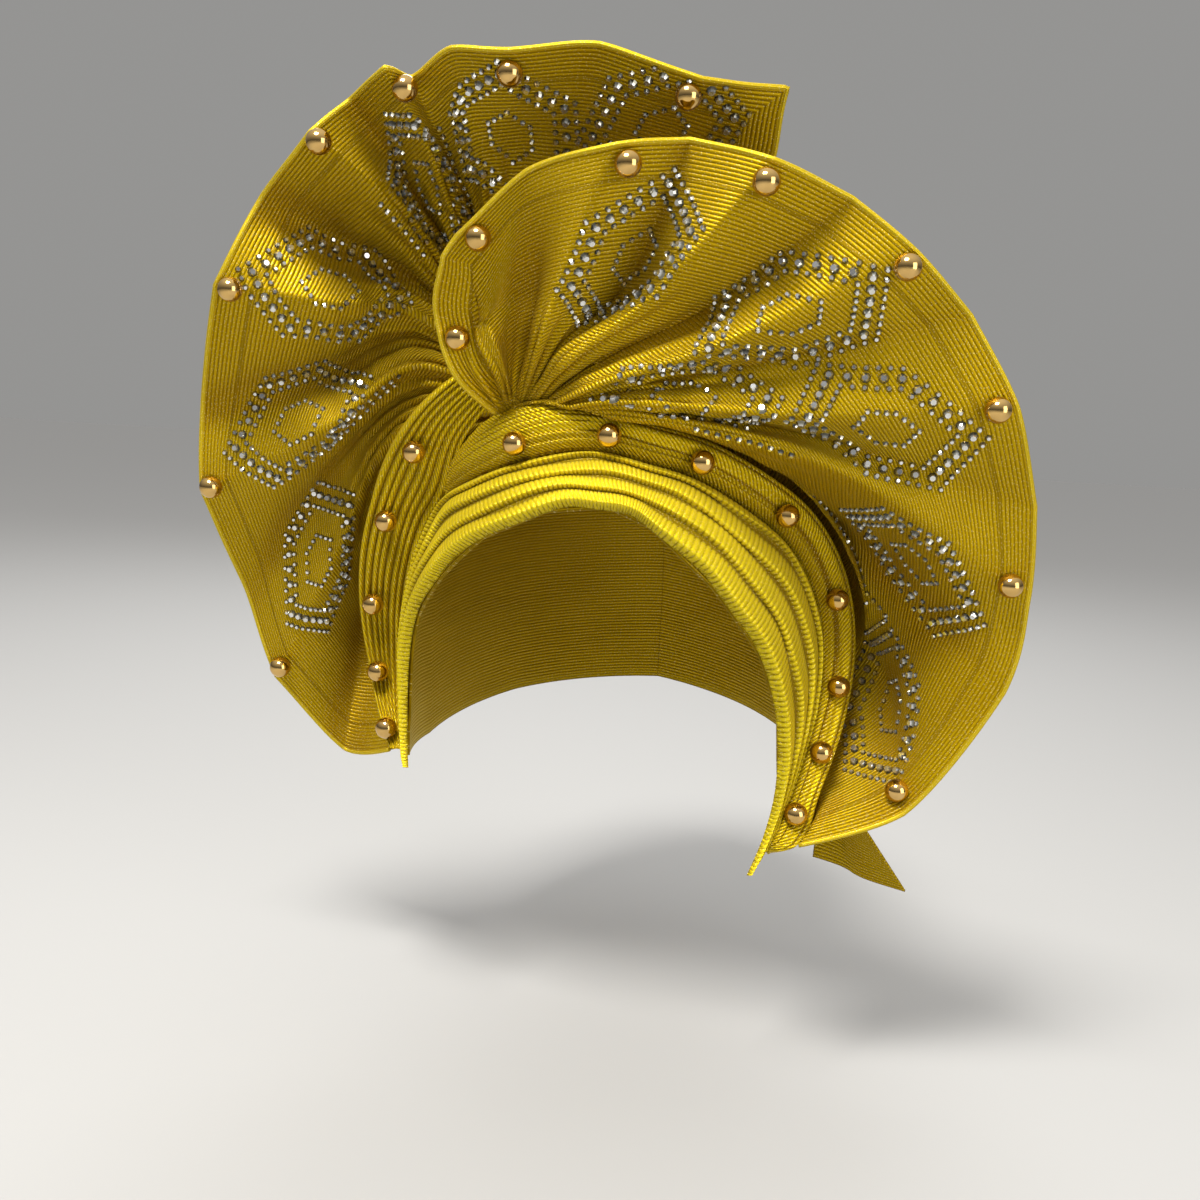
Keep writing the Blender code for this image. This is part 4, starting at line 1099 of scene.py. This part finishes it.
def build_tail(material):
    """Free end of the cloth, which hangs behind the ear and spreads in soft waves."""
    u = np.linspace(0.0, 1.0, 71)
    v = np.linspace(0.0, 1.0, 61)[None, :]
    proud = CAP_WALL + NAPE_RISE + CLOTH / 2.0 + 2.0 * SEAT_GAP
    middle = head_points(TAIL_ANGLE, TAIL_DROP, proud)
    root = head_points(TAIL_ANGLE + TAIL_SWEEP * (0.5 - u), TAIL_DROP, proud)
    side = u - 0.5
    end = middle + np.stack((TAIL_FLARE + TAIL_SPREAD * side, -0.3 * TAIL_SPREAD * side,
                             -TAIL_LENGTH * (1.0 + 0.12 * side)), axis=-1)
    points = root[:, None, :] + (end - root)[:, None, :] * v[..., None]
    wave = TAIL_WAVE * v * (0.5 + np.sin(2.2 * math.pi * u))[:, None]
    points[..., 0] += wave
    # Painted shade in stripes that follow the waves.
    fold = np.clip(0.45 - 0.3 * np.sin(2.2 * math.pi * u)[:, None] + 0.0 * v, 0.0, 1.0)
    return add_sheet("tail_cloth", grid_mesh("tail_cloth", points, cloth_metres(points), fold),
                     material, "tail")


# Beads


def bead_seat(node):
    """Middle of a bead's flat back, and the way the bead faces."""
    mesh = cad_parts[node].data
    mesh.calc_loop_triangles()
    totals = {}
    for triangle in mesh.loop_triangles:
        key = tuple(round(value, 2) for value in triangle.normal)
        area, centre = totals.get(key, (0.0, Vector((0.0, 0.0, 0.0))))
        totals[key] = (area + triangle.area, centre + triangle.center * triangle.area)
    back = max(totals, key=lambda key: totals[key][0])
    area, centre = totals[back]
    return centre / area, -Vector(back).normalized()


def build_bead(node, material):
    """Polished bead: a ball cut flat across its back, a little behind its middle."""
    seat, facing = bead_seat(node)
    base = BEAD_RADIUS * BEAD_BASE_SHARE
    builder = bmesh.new()
    bmesh.ops.create_uvsphere(builder, u_segments=36, v_segments=22, radius=BEAD_RADIUS)
    bmesh.ops.translate(builder, verts=builder.verts[:], vec=(0.0, 0.0, base))
    geometry = builder.verts[:] + builder.edges[:] + builder.faces[:]
    bmesh.ops.bisect_plane(builder, geom=geometry, plane_co=(0.0, 0.0, 0.0),
                           plane_no=(0.0, 0.0, -1.0), clear_outer=True)
    edges = [edge for edge in builder.edges if edge.is_boundary]
    bmesh.ops.holes_fill(builder, edges=edges, sides=0)
    bmesh.ops.recalc_face_normals(builder, faces=builder.faces[:])
    bmesh.ops.transform(builder, matrix=seat_matrix(seat, facing), verts=builder.verts[:])
    name = node + "_gold"
    piece = add_piece(name, new_mesh(builder, name), material, (node,))
    piece.data.set_sharp_from_angle(angle=math.radians(40.0))


# Stage, light and camera


def build_floor(material):
    """Wide floor at the height of the table that a display head stands on."""
    builder = bmesh.new()
    bmesh.ops.create_grid(builder, x_segments=2, y_segments=2, size=6.0)
    bmesh.ops.translate(builder, verts=builder.verts[:], vec=(0.0, 0.0, -FLOOR_DROP))
    floor = add_object("floor", new_mesh(builder, "floor"))
    floor.data.materials.append(material)


def add_lamp(name, place, size, power, colour):
    light = bpy.data.lights.new(name, 'AREA')
    light.shape = 'RECTANGLE'
    light.size = size[0]
    light.size_y = size[1]
    light.energy = power
    light.color = colour
    lamp = add_object(name, light)
    lamp.location = place
    lamp.rotation_mode = 'QUATERNION'
    lamp.rotation_quaternion = (Vector(LAMP_TARGET) - Vector(place)).to_track_quat('-Z', 'Y')


def light_stage():
    """Pale room that is brighter overhead, an even wall for the camera, and three lamps."""
    world = bpy.data.worlds.new("pale studio")
    bpy.context.scene.world = world
    world.use_nodes = True
    tree = world.node_tree
    way = add_node(tree, 'ShaderNodeTexCoord')
    parts = add_node(tree, 'ShaderNodeSeparateXYZ', {0: way.outputs["Generated"]})
    height = calc(tree, 'POWER', calc(tree, 'MAXIMUM', parts.outputs["Z"], 0.0), 1.3)
    room = blend_colour(tree, height, (0.10, 0.10, 0.11), (0.98, 0.97, 0.95))
    rays = add_node(tree, 'ShaderNodeLightPath')
    seen = blend_colour(tree, rays.outputs["Is Camera Ray"], room, WALL_COLOUR)
    tree.links.new(seen, tree.nodes["Background"].inputs["Color"])
    for lamp in LAMPS:
        add_lamp(*lamp)
    bpy.context.scene.view_settings.view_transform = 'Standard'


def add_camera():
    azimuth, elevation, roll = (math.radians(angle) for angle in CAMERA_ANGLES)
    back = Vector((math.sin(azimuth) * math.cos(elevation),
                   -math.cos(azimuth) * math.cos(elevation), math.sin(elevation)))
    level = Vector((math.cos(azimuth), math.sin(azimuth), 0.0))
    rise = back.cross(level)
    right = level * math.cos(roll) - rise * math.sin(roll)
    up = level * math.sin(roll) + rise * math.cos(roll)
    data = bpy.data.cameras.new("camera")
    data.lens = CAMERA_LENS
    data.sensor_width = 36.0
    data.clip_start = 0.01
    camera = add_object("camera", data)
    axes = Matrix((right, up, back)).transposed().to_4x4()
    camera.matrix_world = Matrix.Translation(Vector(CAMERA_TARGET) + back * CAMERA_DISTANCE) @ axes
    bpy.context.scene.camera = camera


def main():
    ribs = rib_group()
    wear = wear_group()
    cloth = {use: cloth_material(ribs, *values) for use, values in CLOTHS.items()}
    gold = gold_material(wear)
    stones = stone_material(wear)

    front = fan_sheet(FRONT_FAN)
    back = fan_sheet(BACK_FAN)
    front_fan, front_hem = build_fan(FRONT_FAN, front, cloth["fan"], cloth["hem"])
    back_fan, back_hem = build_fan(BACK_FAN, back, cloth["fan"], cloth["hem"])
    front_field = build_stones(FRONT_FAN, fan_stones(FRONT_FAN, front), stones)
    back_field = build_stones(BACK_FAN, fan_stones(BACK_FAN, back), stones)
    build_band(cloth["band"])
    build_roll(cloth["pleats"])
    build_bundle(cloth["pleats"])
    cap = build_cap(cloth["wrap"])
    build_nape_band(cloth["wrap"])
    tail = build_tail(cloth["wrap"])
    for node in sorted(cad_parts):
        if node.startswith("bead_"):
            build_bead(node, gold)

    build_floor(stage_material())
    light_stage()
    add_camera()


main()
